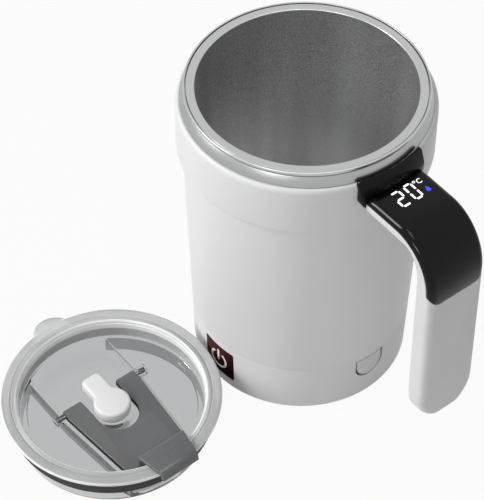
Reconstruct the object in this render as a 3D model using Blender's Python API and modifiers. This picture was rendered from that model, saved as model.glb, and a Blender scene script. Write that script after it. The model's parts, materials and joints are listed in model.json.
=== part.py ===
"""Self-stirring mug: a steel-lined cup with a magnetic stirrer, a handle that shows the
drink's temperature, and a clear flip lid that stands beside it.

The origin is the middle of the mug's foot, the handle points along +X and the power
button faces -Y. All lengths are metres and all angles are degrees.
"""

import math

import bmesh
import bpy
from mathutils import Matrix, Vector

# Gaps and drawing counts
FIT = 0.0003                     # gap between pieces that touch
OVERRUN = 0.004                  # how far a cutter runs past what it cuts
WELD = 0.000001                  # points closer than this are one point
BIG_STEPS = 48                   # facets round the mug and the lid
SMALL_STEPS = 12                 # facets round pins, screws and bosses
ARC_STEPS = 4                    # points along a short rounded corner

# Mug body
MUG_HEIGHT = 0.1300
COLLAR_RADIUS = 0.0460           # the mug's widest radius, which the others follow
COLLAR_STEP = 0.0021             # from the collar in to the body just under it
BODY_TAPER = 0.0029              # how much the body narrows down to its foot
COLLAR_HEIGHT = 0.0206
COLLAR_SHOULDER = 0.0024         # height of the collar's rounded shoulder
COLLAR_LEDGE = 0.0011            # how far the shoulder turns in
SHELL_WALL = 0.0018
SPIGOT_HEIGHT = 0.0042           # how far the base ring reaches into the shell
SPIGOT_WALL = 0.0012
SPIGOT_ROOM = 0.0012             # from the spigot's top up to the ledge's slope
BASE_LIFT = 0.0008               # the base ring stays this far off the table
BASE_EDGE = 0.0007               # rounding of the base ring's lower edge
COLLAR_CHAMFER = 0.0006

# Mouth of the mug
LIP_WIDTH = 0.0032               # the cup's flat lip, from the mouth outwards
LIP_DROP = 0.0003                # the lip lies this far under the rim ring's top
LIP_EDGE = 0.0004
RIM_WIDTH = 0.0010               # the steel ring, from the lip outwards
RIM_OVERHANG = 0.0003            # how far the ring stands out over the neck band
RIM_EDGE = 0.0006
RIM_UNDERCUT = 0.0007
RIM_SHELF = 0.0005               # thickness of the ring's shelf under the lip
RIM_SHELF_WIDTH = 0.0012         # how far that shelf reaches in under the lip
SEAL_THICKNESS = 0.0006
NECK_HEIGHT = 0.0033
NECK_TAPER = 0.0017              # how much the neck band narrows to its top
NECK_INSET = 0.0014              # from the collar in to the band's foot
NECK_SHEET = 0.0005
NECK_GROOVE = 0.0003             # dark groove between the ring and the neck band

# Cup and stirrer
CUP_WALL = 0.0008
CUP_TAPER = 0.0016               # how much the cup narrows down to its floor
CUP_CORNER = 0.0060
STUD_RADIUS = 0.0016
STUD_HEIGHT = 0.0055
ROTOR_LENGTH = 0.0300
ROTOR_WIDTH = 0.0090
ROTOR_HEIGHT = 0.0042
ROTOR_HUB_RADIUS = 0.0040
ROTOR_HUB_RISE = 0.0018
ROTOR_MAGNET_RADIUS = 0.0030
ROTOR_MAGNET_HEIGHT = 0.0024
MAGNET_GAP = 0.0008              # running gap between the carrier and the cup

# Drive
MOTOR_RADIUS = 0.0122
MOTOR_HEIGHT = 0.0160
MOTOR_BOSS_RADIUS = 0.0036
MOTOR_BOSS_HEIGHT = 0.0014
SHAFT_RADIUS = 0.0010
SHAFT_DEPTH = 0.0060             # length of shaft inside the motor
CARRIER_RADIUS = 0.0140
CARRIER_HEIGHT = 0.0042
CARRIER_GAP = 0.0006             # between the motor screws and the carrier
MAGNET_RADIUS = 0.0040
MAGNET_HEIGHT = 0.0030
MAGNET_REACH = 0.0085            # from the axis to a magnet's middle
MOTOR_DECK_THICKNESS = 0.0018
LEDGE_HEIGHT = 0.0045
LEDGE_WIDTH = 0.0050

# Electronics
FOOT_PAD_INSET = 0.0050          # from the mug's foot in to the pad
COVER_THICKNESS = 0.0020
COVER_INSET = 0.0022             # width of the base ring's edge round the cover
RIB_WIDTH = 0.0035               # the base ring's inner ledge above the cover
RIB_HEIGHT = 0.0012
BATTERY_END_ROOM = 0.0081        # from the screw bosses in to the cell's ends
BATTERY_SIDE_ROOM = 0.0161       # from the screw bosses in to the cell's sides
BATTERY_EDGE = 0.0016
BATTERY_HEADROOM = 0.0024        # from the cell up to the board
BOARD_DROP = 0.0086              # from the seam down to the board's top
BOARD_INSET = 0.0056             # from the mug's foot in to the board
BOARD_THICKNESS = 0.0012
BOSS_RADIUS = 0.0024
BOSS_INSET = 0.0065              # from the mug's foot in to a screw boss
USB_LENGTH = 0.0073
USB_WIDTH = 0.0090
USB_HEIGHT = 0.0032
USB_WALL = 0.0005
USB_TONGUE_GAP = 0.0010
SWITCH_LENGTH = 0.0040
SWITCH_WIDTH = 0.0060
SWITCH_HEIGHT = 0.0042
SWITCH_STEM_RADIUS = 0.0010
SWITCH_STEM_LENGTH = 0.0012
SENSOR_SIZE = (0.0060, 0.0040, 0.0014)
SENSOR_REACH = 0.0240
SENSOR_CUSHION_MARGIN = 0.0008
LEAD_RADIUS = 0.0007
LEAD_CLEARANCE = 0.0004

# Screws
SCREW_RADIUS = 0.0010
SCREW_HEAD_RADIUS = 0.0019
SCREW_HEAD_HEIGHT = 0.0011
SCREW_CLEARANCE = 0.0003
BASE_SCREW_LENGTH = 0.0052
BOARD_SCREW_LENGTH = 0.0036
DECK_SCREW_LENGTH = 0.0048
MOTOR_SCREW_LENGTH = 0.0036
MOTOR_SCREW_REACH = 0.0080
HANDLE_SCREW_LENGTH = 0.0098
HANDLE_SCREW_SPREAD = 0.0096
SLOT_WIDTH = 0.0005
SLOT_DEPTH = 0.0004

# Power button and charging port
BUTTON_WIDTH = 0.0149
BUTTON_HEIGHT = 0.0149
BUTTON_CORNER = 0.0004
BUTTON_ASIDE = 0.0020            # the button sits this far towards the handle
BUTTON_LIFT = 0.0056             # from the table up to the button
BUTTON_DROP = 0.0024             # from the seam down to the button's top
BUTTON_PROUD = 0.0001
BUTTON_FLANGE = 0.0008
BUTTON_FLANGE_DEPTH = 0.0037     # from the mug's surface to the flange
BUTTON_TRAVEL = 0.0006
FLAP_WIDTH = 0.0113
FLAP_HEIGHT = 0.0095
FLAP_THICKNESS = 0.0016
FLAP_GAP = 0.0007
FLAP_HINGE_INSET = 0.0005        # hinge line under the flap's outer face
FLAP_HINGE_DROP = 0.0006         # hinge line under the flap's top edge
USB_INSET = 0.0021               # socket's mouth behind the foot's radius

# Handle
BRACKET_THICKNESS = 0.0020
BRACKET_WIDTH = 0.0280
BRACKET_HEIGHT = 0.0116
BRACKET_TOP_DROP = 0.0042        # bracket's top under the mug's top
BRACKET_RIDGE = 0.0009           # size of the thin ridge along its top
BRACKET_LEAN = 0.0023            # how far its face leans in towards the top
BRACKET_LEAN_POWER = 1.27        # how evenly it does so
BRACKET_CORNER = 0.0040          # its lower corners
BRACKET_TOP_CORNER = 0.0016
HANDLE_WIDTH = 0.0246
HANDLE_DROP = 0.0107             # handle's top under the mug's top
HANDLE_LENGTH = 0.0893
ARM_THICKNESS = 0.0069
GRIP_THICKNESS = 0.0085
GRIP_SPACE = 0.0356              # from the collar to the grip's outer face
GRIP_LEAN = 0.0009               # how far the grip leans out on its way down
BEND_REACH = 0.0200              # outer bend, measured outwards
BEND_DROP = 0.0213               # outer bend, measured downwards
INNER_BEND_REACH = 0.0072
INNER_BEND_DROP = 0.0125
HANDLE_EDGE = 0.0025             # rounding along the outer edges
HANDLE_INNER_EDGE = 0.0020
GRIP_CORNER = 0.0115             # big corners at the grip's lower end, sideways
GRIP_CORNER_RISE = 0.0130        # and upwards
GRIP_TIP = 0.0030                # rounding of the lower end
BEND_STEPS = 9
TIP_STEPS = 5
COVER_PLATE = 0.0025             # thickness of the glossy handle cover
COVER_LENGTH = 0.0250            # from the handle's top to the cover's lower edge
COVER_CORNER = 0.0055
POCKET_START = 0.0013            # from the bracket to the display pocket
POCKET_LENGTH = 0.0140
POCKET_WIDTH = 0.0164
POCKET_FLOOR = 0.0014            # arm's material under the pocket
POCKET_RISE = 0.0012             # pocket's depth in the cover
DISPLAY_BOARD_SETBACK = 0.0016   # room for the lead at the pocket's start
DISPLAY_BOARD_THICKNESS = 0.0008
DISPLAY_MODULE_MARGIN = 0.0008
DISPLAY_MODULE_HEIGHT = 0.0025

# Lid, measured from its own middle on the table
LID_OFFSET = -0.0067             # along X from the mug's axis
LID_GAP = 0.0027                 # between the lid and the mug's foot, along Y
LID_OVERHANG = 0.0022            # how far the lid's flange lies on the mug's lip
LID_HEIGHT = 0.0168
LID_FLANGE = 0.0033
LID_FLANGE_EDGE = 0.0007
LID_BAND = 0.0058                # the flange's flat top, from the outside inwards
LID_WELL_STEP = 0.0009           # the recess is this much narrower at the side decks
LID_SKIRT_ROOM = 0.0014          # between the lid's skirt and the mug's mouth
LID_SKIRT_TAPER = 0.0014
LID_DECK_HEIGHT = 0.0083
LID_DECK = 0.0016
LID_FLOOR = 0.0018
GASKET_HEIGHT = 0.0068
GASKET_DEPTH = 0.0011            # groove depth in the skirt
GASKET_PROUD = 0.0008
GASKET_RIB = 0.0005
CHANNEL_HALF = 0.0170
CHANNEL_FRONT_HALF = 0.0139
CHANNEL_BEND = -0.0050           # where the channel starts to narrow
CHANNEL_WALL = 0.0015
CHANNEL_INSET = 0.0005           # channel's round ends inside the well
COLLAR_RING_RADIUS = 0.0075      # clear collar round the stopper
COLLAR_RING_WALL = 0.0012
COLLAR_RING_TOP = 0.0073
STOPPER_HOLE_RADIUS = 0.0050
SIP_HALF_WIDTH = 0.0055
SIP_RADIUS = 0.0026
SIP_INSET = 0.0105               # from the channel's front end to the sip hole
TAB_RADIUS = 0.0082
TAB_LENGTH = 0.0043              # how far the lift tab stands out of the flange
TAB_THICKNESS = 0.0022

# Flip lever, its pins and pad, and the stopper
LEVER_TOP = 0.0088
LEVER_THICKNESS = 0.0026
LEVER_BACK = -0.0095
LEVER_CLEARANCE = 0.0006         # between the lever and the channel's walls
LEVER_SHEET = 0.0016             # thickness of the hook
LEVER_SLOT_HALF = 0.0079
LEVER_SLOT_END = 0.0114
HOOK_HALF = 0.0116
HOOK_TIP_HALF = 0.0080
HOOK_CLEARANCE = 0.0010
HOOK_LENGTH = 0.0013             # how far the hook hangs below the lid's top
HOOK_EDGE = 0.0008
PIVOT_REACH = -0.0077
PIN_RADIUS = 0.0007
PIN_BARREL_RADIUS = 0.0015       # the lever's arms thicken to this round the pins
PIN_INNER = 0.0105
PIN_BOSS_RADIUS = 0.0023
PIN_BOSS_LENGTH = 0.0036
PAD_LENGTH = 0.0080
PAD_HALF_WIDTH = 0.0080
PAD_EDGE = 0.0006
STOPPER_RADIUS = 0.0070
STOPPER_TOP = 0.0122
STOPPER_TAIL_HALF = 0.0043
STOPPER_TAIL_END = -0.0151
STOPPER_STEM_RADIUS = 0.0046
STOPPER_STEM_END = 0.0006
STOPPER_EDGE = 0.0010

# Radii that follow from the collar's
body_top_radius = COLLAR_RADIUS - COLLAR_STEP
foot_radius = body_top_radius - BODY_TAPER
neck_foot_radius = COLLAR_RADIUS - NECK_INSET
neck_top_radius = neck_foot_radius - NECK_TAPER
rim_radius = neck_top_radius + RIM_OVERHANG
lip_radius = rim_radius - RIM_WIDTH
rim_shelf_radius = lip_radius - RIM_SHELF_WIDTH
mouth_radius = lip_radius - LIP_WIDTH
cup_floor_radius = mouth_radius - CUP_TAPER
foot_pad_radius = foot_radius - FOOT_PAD_INSET
board_radius = foot_radius - BOARD_INSET
boss_reach = foot_radius - BOSS_INSET
battery_length = 2 * (boss_reach - BOSS_RADIUS - BATTERY_END_ROOM)
battery_width = 2 * (boss_reach - BOSS_RADIUS - BATTERY_SIDE_ROOM)
grip_reach = COLLAR_RADIUS + GRIP_SPACE
lid_radius = mouth_radius + LID_OVERHANG
lid_mouth_radius = lid_radius - LID_BAND
lid_well_radius = lid_mouth_radius - LID_WELL_STEP
lid_skirt_radius = mouth_radius - LID_SKIRT_ROOM
channel_radius = lid_well_radius - CHANNEL_INSET
sip_reach = channel_radius - SIP_INSET
tab_reach = lid_radius + TAB_LENGTH

# Heights and places that follow from the sizes above
cover_bottom = BASE_LIFT + 2 * FIT
cover_top = cover_bottom + COVER_THICKNESS
battery_bottom = cover_top + FIT
seam_height = BUTTON_LIFT + BUTTON_HEIGHT + BUTTON_DROP
board_top = seam_height - BOARD_DROP
board_bottom = board_top - BOARD_THICKNESS
battery_height = board_bottom - BATTERY_HEADROOM - battery_bottom
slope_bottom = seam_height + SPIGOT_HEIGHT + SPIGOT_ROOM
ledge_bottom = slope_bottom + LEDGE_WIDTH
ledge_top = ledge_bottom + LEDGE_HEIGHT
motor_top = ledge_top
motor_bottom = motor_top - MOTOR_HEIGHT
deck_bottom = ledge_top + FIT
deck_top = deck_bottom + MOTOR_DECK_THICKNESS
carrier_bottom = deck_top + FIT + SCREW_HEAD_HEIGHT + CARRIER_GAP
carrier_top = carrier_bottom + CARRIER_HEIGHT
cup_bottom = carrier_top + MAGNET_GAP
cup_floor = cup_bottom + CUP_WALL
lip_top = MUG_HEIGHT - LIP_DROP
lip_bottom = lip_top - CUP_WALL
shelf_top = lip_bottom - FIT
shelf_bottom = shelf_top - RIM_SHELF
seal_top = shelf_bottom - FIT
collar_top = seal_top - SEAL_THICKNESS - FIT
neck_top = shelf_bottom - NECK_GROOVE
neck_foot = neck_top - NECK_HEIGHT
collar_edge = neck_foot - FIT
collar_foot = collar_edge - COLLAR_HEIGHT
shell_top = collar_edge - COLLAR_SHOULDER
shell_foot = seam_height + FIT
usb_middle = board_top + FIT + USB_HEIGHT / 2
button_middle = seam_height - BUTTON_DROP - BUTTON_HEIGHT / 2
handle_top = MUG_HEIGHT - HANDLE_DROP
handle_foot = handle_top - HANDLE_LENGTH
bracket_top = MUG_HEIGHT - BRACKET_TOP_DROP
bracket_bottom = bracket_top - BRACKET_HEIGHT
bracket_inner = COLLAR_RADIUS + FIT
bracket_outer = bracket_inner + BRACKET_THICKNESS
lid_middle = (LID_OFFSET, -(foot_radius + lid_radius + LID_GAP), 0)
lever_bottom = LEVER_TOP - LEVER_THICKNESS
pivot_height = LEVER_TOP - LEVER_THICKNESS / 2
lever_riser = math.sqrt((channel_radius - 2 * FIT) ** 2 - HOOK_HALF ** 2) - LEVER_SHEET


def body_radius(z):
    """Outside radius of the mug's tapering body at a height."""
    return foot_radius + (body_top_radius - foot_radius) * z / collar_foot


def cup_radius(z):
    """Inside radius of the steel cup at a height above its floor corner."""
    share = (z - cup_floor - CUP_CORNER) / (lip_bottom - cup_floor - CUP_CORNER)
    return cup_floor_radius + (mouth_radius - cup_floor_radius) * share


# Scene and materials

for old in list(bpy.data.objects):
    bpy.data.objects.remove(old, do_unlink=True)
parts = bpy.data.collections.new("self_stirring_mug")
cutters = bpy.data.collections.new("cutters")
bpy.context.scene.collection.children.link(parts)
bpy.context.scene.collection.children.link(cutters)


def finish(name, colour, roughness, metallic=0.0, clear=0.0):
    """A Principled material; clear is the share of light it lets through."""
    made = bpy.data.materials.new(name)
    made.use_nodes = True
    shader = made.node_tree.nodes["Principled BSDF"]
    shader.inputs["Base Color"].default_value = (*colour, 1.0)
    shader.inputs["Roughness"].default_value = roughness
    shader.inputs["Metallic"].default_value = metallic
    shader.inputs["Transmission Weight"].default_value = clear
    made.diffuse_color = (*colour, 1.0)
    made.roughness = roughness
    made.metallic = metallic
    return made


white_plastic = finish("white_plastic", (0.72, 0.72, 0.72), 0.35)
flap_plastic = finish("flap_plastic", (0.70, 0.70, 0.70), 0.55)
grip_plastic = finish("grip_plastic", (0.66, 0.66, 0.66), 0.40)
black_gloss = finish("black_gloss", (0.012, 0.012, 0.013), 0.10)
black_plastic = finish("black_plastic", (0.015, 0.015, 0.016), 0.25)
brushed_steel = finish("brushed_steel", (0.62, 0.63, 0.63), 0.32, 1.0)
blasted_steel = finish("blasted_steel", (0.30, 0.30, 0.31), 0.55, 1.0)
plain_steel = finish("plain_steel", (0.50, 0.50, 0.52), 0.35, 1.0)
dark_rubber = finish("dark_rubber", (0.03, 0.03, 0.03), 0.60)
button_glass = finish("button_glass", (0.05, 0.008, 0.008), 0.12)
clear_plastic = finish("clear_plastic", (0.90, 0.90, 0.90), 0.05, 0.0, 1.0)
lever_plastic = finish("lever_plastic", (0.15, 0.15, 0.15), 0.45)
white_silicone = finish("white_silicone", (0.80, 0.80, 0.80), 0.50)
circuit_green = finish("circuit_green", (0.02, 0.12, 0.05), 0.45)
battery_foil = finish("battery_foil", (0.45, 0.46, 0.48), 0.40, 0.6)
lead_red = finish("lead_red", (0.40, 0.02, 0.02), 0.50)
foam_grey = finish("foam_grey", (0.12, 0.12, 0.12), 0.90)


# Modelling tools

def settle(piece, name, material, cutter=False):
    """Names a piece, puts it in its collection and gives it its material."""
    piece.name = name
    piece.data.name = name
    for held in list(piece.users_collection):
        held.objects.unlink(piece)
    (cutters if cutter else parts).objects.link(piece)
    piece.hide_render = cutter
    if cutter:
        piece.display_type = "WIRE"
    if material is not None:
        piece.data.materials.clear()
        piece.data.materials.append(material)
    return piece


def from_bmesh(name, shape, material=None, cutter=False):
    """An object that holds a bmesh."""
    mesh = bpy.data.meshes.new(name)
    shape.to_mesh(mesh)
    shape.free()
    return settle(bpy.data.objects.new(name, mesh), name, material, cutter)


def arc(x, y, radius, start, end, steps=ARC_STEPS):
    """Points on an arc from one angle to another, both ends included."""
    turn = [math.radians(start + (end - start) * i / steps) for i in range(steps + 1)]
    return [(x + radius * math.cos(a), y + radius * math.sin(a)) for a in turn]


def turned(name, profile, material=None, steps=BIG_STEPS, cutter=False):
    """A profile of (radius, height) points turned about the Z axis."""
    shape = bmesh.new()
    rim = [shape.verts.new((r, 0, z)) for r, z in profile]
    for first, second in zip(rim, rim[1:]):
        shape.edges.new((first, second))
    if profile[0][0] > 0:
        shape.edges.new((rim[-1], rim[0]))
    piece = from_bmesh(name, shape, material, cutter)
    screw = piece.modifiers.new("turn", "SCREW")
    screw.axis = "Z"
    screw.steps = steps
    screw.render_steps = steps
    screw.use_merge_vertices = True
    screw.merge_threshold = WELD
    screw.use_smooth_shade = True
    return piece


def plate(name, outline, thickness, material=None, cutter=False, turn=None, at=(0, 0, 0)):
    """A flat outline of (x, y) points, thickness tall, centred on its own plane."""
    curve = bpy.data.curves.new(name, "CURVE")
    curve.dimensions = "2D"
    curve.fill_mode = "BOTH"
    curve.extrude = thickness / 2
    line = curve.splines.new("POLY")
    line.points.add(len(outline) - 1)
    for point, (x, y) in zip(line.points, outline):
        point.co = (x, y, 0, 1)
    line.use_cyclic_u = True
    drawn = bpy.data.objects.new(name, curve)
    bpy.context.scene.collection.objects.link(drawn)
    bpy.context.view_layer.update()
    seen = drawn.evaluated_get(bpy.context.evaluated_depsgraph_get())
    shape = bmesh.new()
    shape.from_mesh(bpy.data.meshes.new_from_object(seen))
    bpy.data.objects.remove(drawn, do_unlink=True)
    bmesh.ops.remove_doubles(shape, verts=shape.verts, dist=WELD)
    bmesh.ops.recalc_face_normals(shape, faces=shape.faces)
    piece = from_bmesh(name, shape, material, cutter)
    piece.matrix_world = Matrix.Translation(at) @ (turn or Matrix()).to_4x4()
    return piece


def block(name, size, middle, material=None, cutter=False, edge=0.0):
    """A box of a given size round its middle, with rounded edges if edge is given."""
    bpy.ops.mesh.primitive_cube_add(size=1, location=middle)
    piece = bpy.context.object
    for corner in piece.data.vertices:
        corner.co = Vector(a * b for a, b in zip(corner.co, size))
    settle(piece, name, material, cutter)
    if edge:
        soften(piece, edge)
    return piece


def rod(name, radius, start, end, material=None, cutter=False, steps=SMALL_STEPS):
    """A straight round bar between two points."""
    line = Vector(end) - Vector(start)
    bpy.ops.mesh.primitive_cylinder_add(
        vertices=steps, radius=radius, depth=line.length,
        location=(Vector(start) + Vector(end)) / 2,
        rotation=line.to_track_quat("Z", "Y").to_euler())
    return settle(bpy.context.object, name, material, cutter)


def wire(name, points, radius, material):
    """A round lead along a smooth line of points."""
    curve = bpy.data.curves.new(name, "CURVE")
    curve.dimensions = "3D"
    curve.bevel_depth = radius
    curve.bevel_resolution = 1
    curve.use_fill_caps = True
    line = curve.splines.new("POLY")
    line.points.add(len(points) - 1)
    for point, place in zip(line.points, points):
        point.co = (*place, 1)
    return settle(bpy.data.objects.new(name, curve), name, material)


def loft(name, sections, material=None, cutter=False):
    """A skin over closed loops of points, all with the same number of points."""
    shape = bmesh.new()
    loops = [[shape.verts.new(point) for point in section] for section in sections]
    for lower, upper in zip(loops, loops[1:]):
        for i in range(len(lower)):
            j = (i + 1) % len(lower)
            shape.faces.new((lower[i], lower[j], upper[j], upper[i]))
    shape.faces.new(loops[0])
    shape.faces.new(loops[-1])
    bmesh.ops.recalc_face_normals(shape, faces=shape.faces)
    return from_bmesh(name, shape, material, cutter)


def soften(piece, width, segments=2, angle=40):
    """Rounds the sharp edges of a piece."""
    bevel = piece.modifiers.new("edges", "BEVEL")
    bevel.width = width
    bevel.segments = segments
    bevel.limit_method = "ANGLE"
    bevel.angle_limit = math.radians(angle)
    return piece


def combine(piece, other, operation):
    """A Boolean of two pieces; the other one stays as a hidden helper."""
    step = piece.modifiers.new(operation.lower() + "_" + other.name, "BOOLEAN")
    step.operation = operation
    step.solver = "EXACT"
    step.object = other
    return piece


def cut(piece, *others):
    """Takes each helper's volume out of a piece."""
    for other in others:
        combine(piece, other, "DIFFERENCE")
    return piece


def trim(piece, other):
    """Keeps what a piece shares with a helper."""
    return combine(piece, other, "INTERSECT")


def join(piece, *others):
    """Adds each helper's volume to a piece."""
    for other in others:
        combine(piece, other, "UNION")
    return piece


def tube_hole(name, radius, x, y, bottom, top):
    """A round upright cutter."""
    return rod(name, radius, (x, y, bottom), (x, y, top), cutter=True)


def screw(name, seat, turn, length):
    """A slotted screw with its head's seat at a point; turn lays it the right way."""
    profile = [(0, SCREW_HEAD_HEIGHT), (SCREW_HEAD_RADIUS, SCREW_HEAD_HEIGHT),
               (SCREW_HEAD_RADIUS, 0), (SCREW_RADIUS, 0), (SCREW_RADIUS, -length),
               (0, -length)]
    piece = turned(name, profile, plain_steel, SMALL_STEPS)
    slot = block(name + "_slot", (2 * SCREW_HEAD_RADIUS + OVERRUN, SLOT_WIDTH, 2 * SLOT_DEPTH),
                 (0, 0, SCREW_HEAD_HEIGHT), cutter=True)
    place = Matrix.Translation(seat) @ turn
    piece.matrix_world = place
    slot.matrix_world = place @ Matrix.Translation((0, 0, SCREW_HEAD_HEIGHT))
    return cut(piece, slot)


def carry(name, place, pieces, stand=None):
    """An empty on a joint's axis, which carries the pieces that move about it."""
    axis = bpy.data.objects.new(name, None)
    parts.objects.link(axis)
    axis.parent = stand
    axis.location = place
    for piece in pieces:
        piece.parent = axis
        piece.matrix_parent_inverse = Matrix.Translation(place).inverted()
    return axis


def around(reach, degrees):
    """X and Y at a distance from the mug's axis, at an angle from the handle."""
    angle = math.radians(degrees)
    return reach * math.cos(angle), reach * math.sin(angle)


FACE_X = Matrix(((0, 0, 1), (1, 0, 0), (0, 1, 0)))     # an outline seen from +X
FACE_Y = Matrix(((1, 0, 0), (0, 0, -1), (0, 1, 0)))    # an outline seen from -Y


# Shell, collar and mouth

def shell_inside(z):
    """Inside radius of the shell and of the base ring at a height."""
    return body_radius(z) - SHELL_WALL


ledge_radius = shell_inside(ledge_top) - LEDGE_WIDTH
deck_screw_reach = ledge_radius + LEDGE_WIDTH / 2 - SCREW_CLEARANCE
lead_reach = ledge_radius + LEDGE_WIDTH / 2 + SCREW_CLEARANCE
screw_angles = (60, 180, 300)
boss_angles = (45, 165, 300)


def outer_shell():
    """The tapering white wall, with the ledge that carries the motor deck."""
    profile = [(body_radius(shell_top), shell_top), (body_radius(shell_foot), shell_foot),
               (shell_inside(shell_foot), shell_foot),
               (shell_inside(slope_bottom), slope_bottom), (ledge_radius, ledge_bottom),
               (ledge_radius, ledge_top), (shell_inside(ledge_top), ledge_top),
               (shell_inside(shell_top), shell_top)]
    piece = turned("outer_shell", profile, white_plastic)
    for i, angle in enumerate(screw_angles):
        x, y = around(deck_screw_reach, angle)
        cut(piece, tube_hole(f"ledge_hole_{i + 1}", SCREW_RADIUS + SCREW_CLEARANCE, x, y,
                             ledge_top - DECK_SCREW_LENGTH, ledge_top + OVERRUN))
    cut(piece, tube_hole("ledge_lead_hole", LEAD_RADIUS + LEAD_CLEARANCE, lead_reach, 0,
                         slope_bottom - OVERRUN, ledge_top + OVERRUN))
    return cut(piece, *handle_holes("shell"))


def handle_holes(name):
    """Cutters along X for the two handle screws and the display's lead."""
    start, end = mouth_radius - CUP_WALL, bracket_outer + POCKET_START
    holes = [rod(name + "_lead_hole", LEAD_RADIUS + LEAD_CLEARANCE, (start, 0, lead_height),
                 (end, 0, lead_height), cutter=True)]
    for side in (-1, 1):
        y = side * HANDLE_SCREW_SPREAD
        holes.append(rod(f"{name}_screw_hole_{'right' if side < 0 else 'left'}",
                         SCREW_RADIUS + SCREW_CLEARANCE, (start, y, handle_screw_height),
                         (handle_screw_seat + HANDLE_SCREW_LENGTH + FIT, y,
                          handle_screw_height), cutter=True))
    return holes


handle_screw_height = bracket_bottom + FIT + SCREW_CLEARANCE + SCREW_RADIUS
lead_height = handle_screw_height
screw_side = HANDLE_SCREW_SPREAD + SCREW_HEAD_RADIUS
handle_screw_seat = math.sqrt(shell_inside(handle_screw_height) ** 2 - screw_side ** 2) - FIT


def neck_radius(z):
    """Outside radius of the cone of the neck band at a height."""
    share = (neck_top - z) / NECK_HEIGHT
    return neck_top_radius + (neck_foot_radius - neck_top_radius) * share


def upper_collar():
    """The wider white ring at the top, which carries the mouth's pieces."""
    bore = mouth_radius + CUP_WALL + FIT
    cone = NECK_SHEET + FIT
    shoulder = [(COLLAR_RADIUS - COLLAR_LEDGE + COLLAR_LEDGE * math.sin(a),
                 collar_edge - COLLAR_SHOULDER + COLLAR_SHOULDER * math.cos(a))
                for a in (math.radians(90 * i / ARC_STEPS) for i in range(ARC_STEPS + 1))]
    profile = [(bore, collar_top), (neck_radius(collar_top) - cone, collar_top),
               (neck_radius(collar_edge) - cone, collar_edge), *shoulder,
               (COLLAR_RADIUS, collar_foot + COLLAR_CHAMFER),
               (COLLAR_RADIUS - COLLAR_CHAMFER, collar_foot),
               (body_radius(collar_foot) + FIT, collar_foot),
               (body_radius(shell_top) + FIT, shell_top + FIT), (bore, shell_top + FIT)]
    return cut(turned("upper_collar", profile, white_plastic), *handle_holes("collar"))


def neck_band():
    """The bare steel cone between the collar and the rim."""
    profile = [(neck_top_radius, neck_top), (neck_foot_radius, neck_foot),
               (neck_foot_radius - NECK_SHEET, neck_foot),
               (neck_top_radius - NECK_SHEET, neck_top)]
    return turned("neck_band", profile, brushed_steel)


def rim_seal():
    """The dark seal under the rim ring."""
    outside = neck_top_radius - NECK_SHEET - FIT
    bottom = seal_top - SEAL_THICKNESS
    profile = [(outside, seal_top), (outside, bottom), (rim_shelf_radius, bottom),
               (rim_shelf_radius, seal_top)]
    return turned("rim_seal", profile, dark_rubber)


def rim_ring():
    """The rounded steel ring round the mouth, with a shelf under the cup's lip."""
    inside = lip_radius + FIT
    profile = [(inside, MUG_HEIGHT),
               *arc(rim_radius - RIM_EDGE, MUG_HEIGHT - RIM_EDGE, RIM_EDGE, 90, 0, 3),
               (rim_radius, shelf_bottom + RIM_UNDERCUT),
               (rim_radius - RIM_UNDERCUT, shelf_bottom),
               (rim_shelf_radius, shelf_bottom), (rim_shelf_radius, shelf_top),
               (inside, shelf_top)]
    return turned("rim_ring", profile, brushed_steel)


def inner_cup():
    """The steel cup: stirrer's stud, floor, wall and flat lip in one sheet."""
    corner = (cup_floor_radius - CUP_CORNER, cup_floor + CUP_CORNER)
    profile = [(0, cup_floor + STUD_HEIGHT), (STUD_RADIUS, cup_floor + STUD_HEIGHT),
               (STUD_RADIUS, cup_floor), *arc(*corner, CUP_CORNER, -90, 0),
               (mouth_radius, lip_top - LIP_EDGE), (mouth_radius + LIP_EDGE, lip_top),
               (lip_radius, lip_top), (lip_radius, lip_bottom),
               (mouth_radius + CUP_WALL, lip_bottom),
               *arc(*corner, CUP_CORNER + CUP_WALL, 0, -90), (0, cup_bottom)]
    return turned("inner_cup", profile, blasted_steel)


# Base

def rounded_box(width, height, corner):
    """Outline of a rectangle with round corners, centred on the origin."""
    x, y = width / 2 - corner, height / 2 - corner
    return [point for sx, sy, start in ((1, -1, -90), (1, 1, 0), (-1, 1, 90), (-1, -1, 180))
            for point in arc(sx * x, sy * y, corner, start, start + 90, 3)]


def flap_outline(gap=0.0):
    """The port flap's outline: a flat top edge and a round lower end."""
    half = FLAP_WIDTH / 2
    top = FLAP_HEIGHT / 2 + gap
    return [(half + gap, top), (-half - gap, top),
            *arc(0, half - FLAP_HEIGHT / 2, half + gap, 180, 360, 12)]


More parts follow.
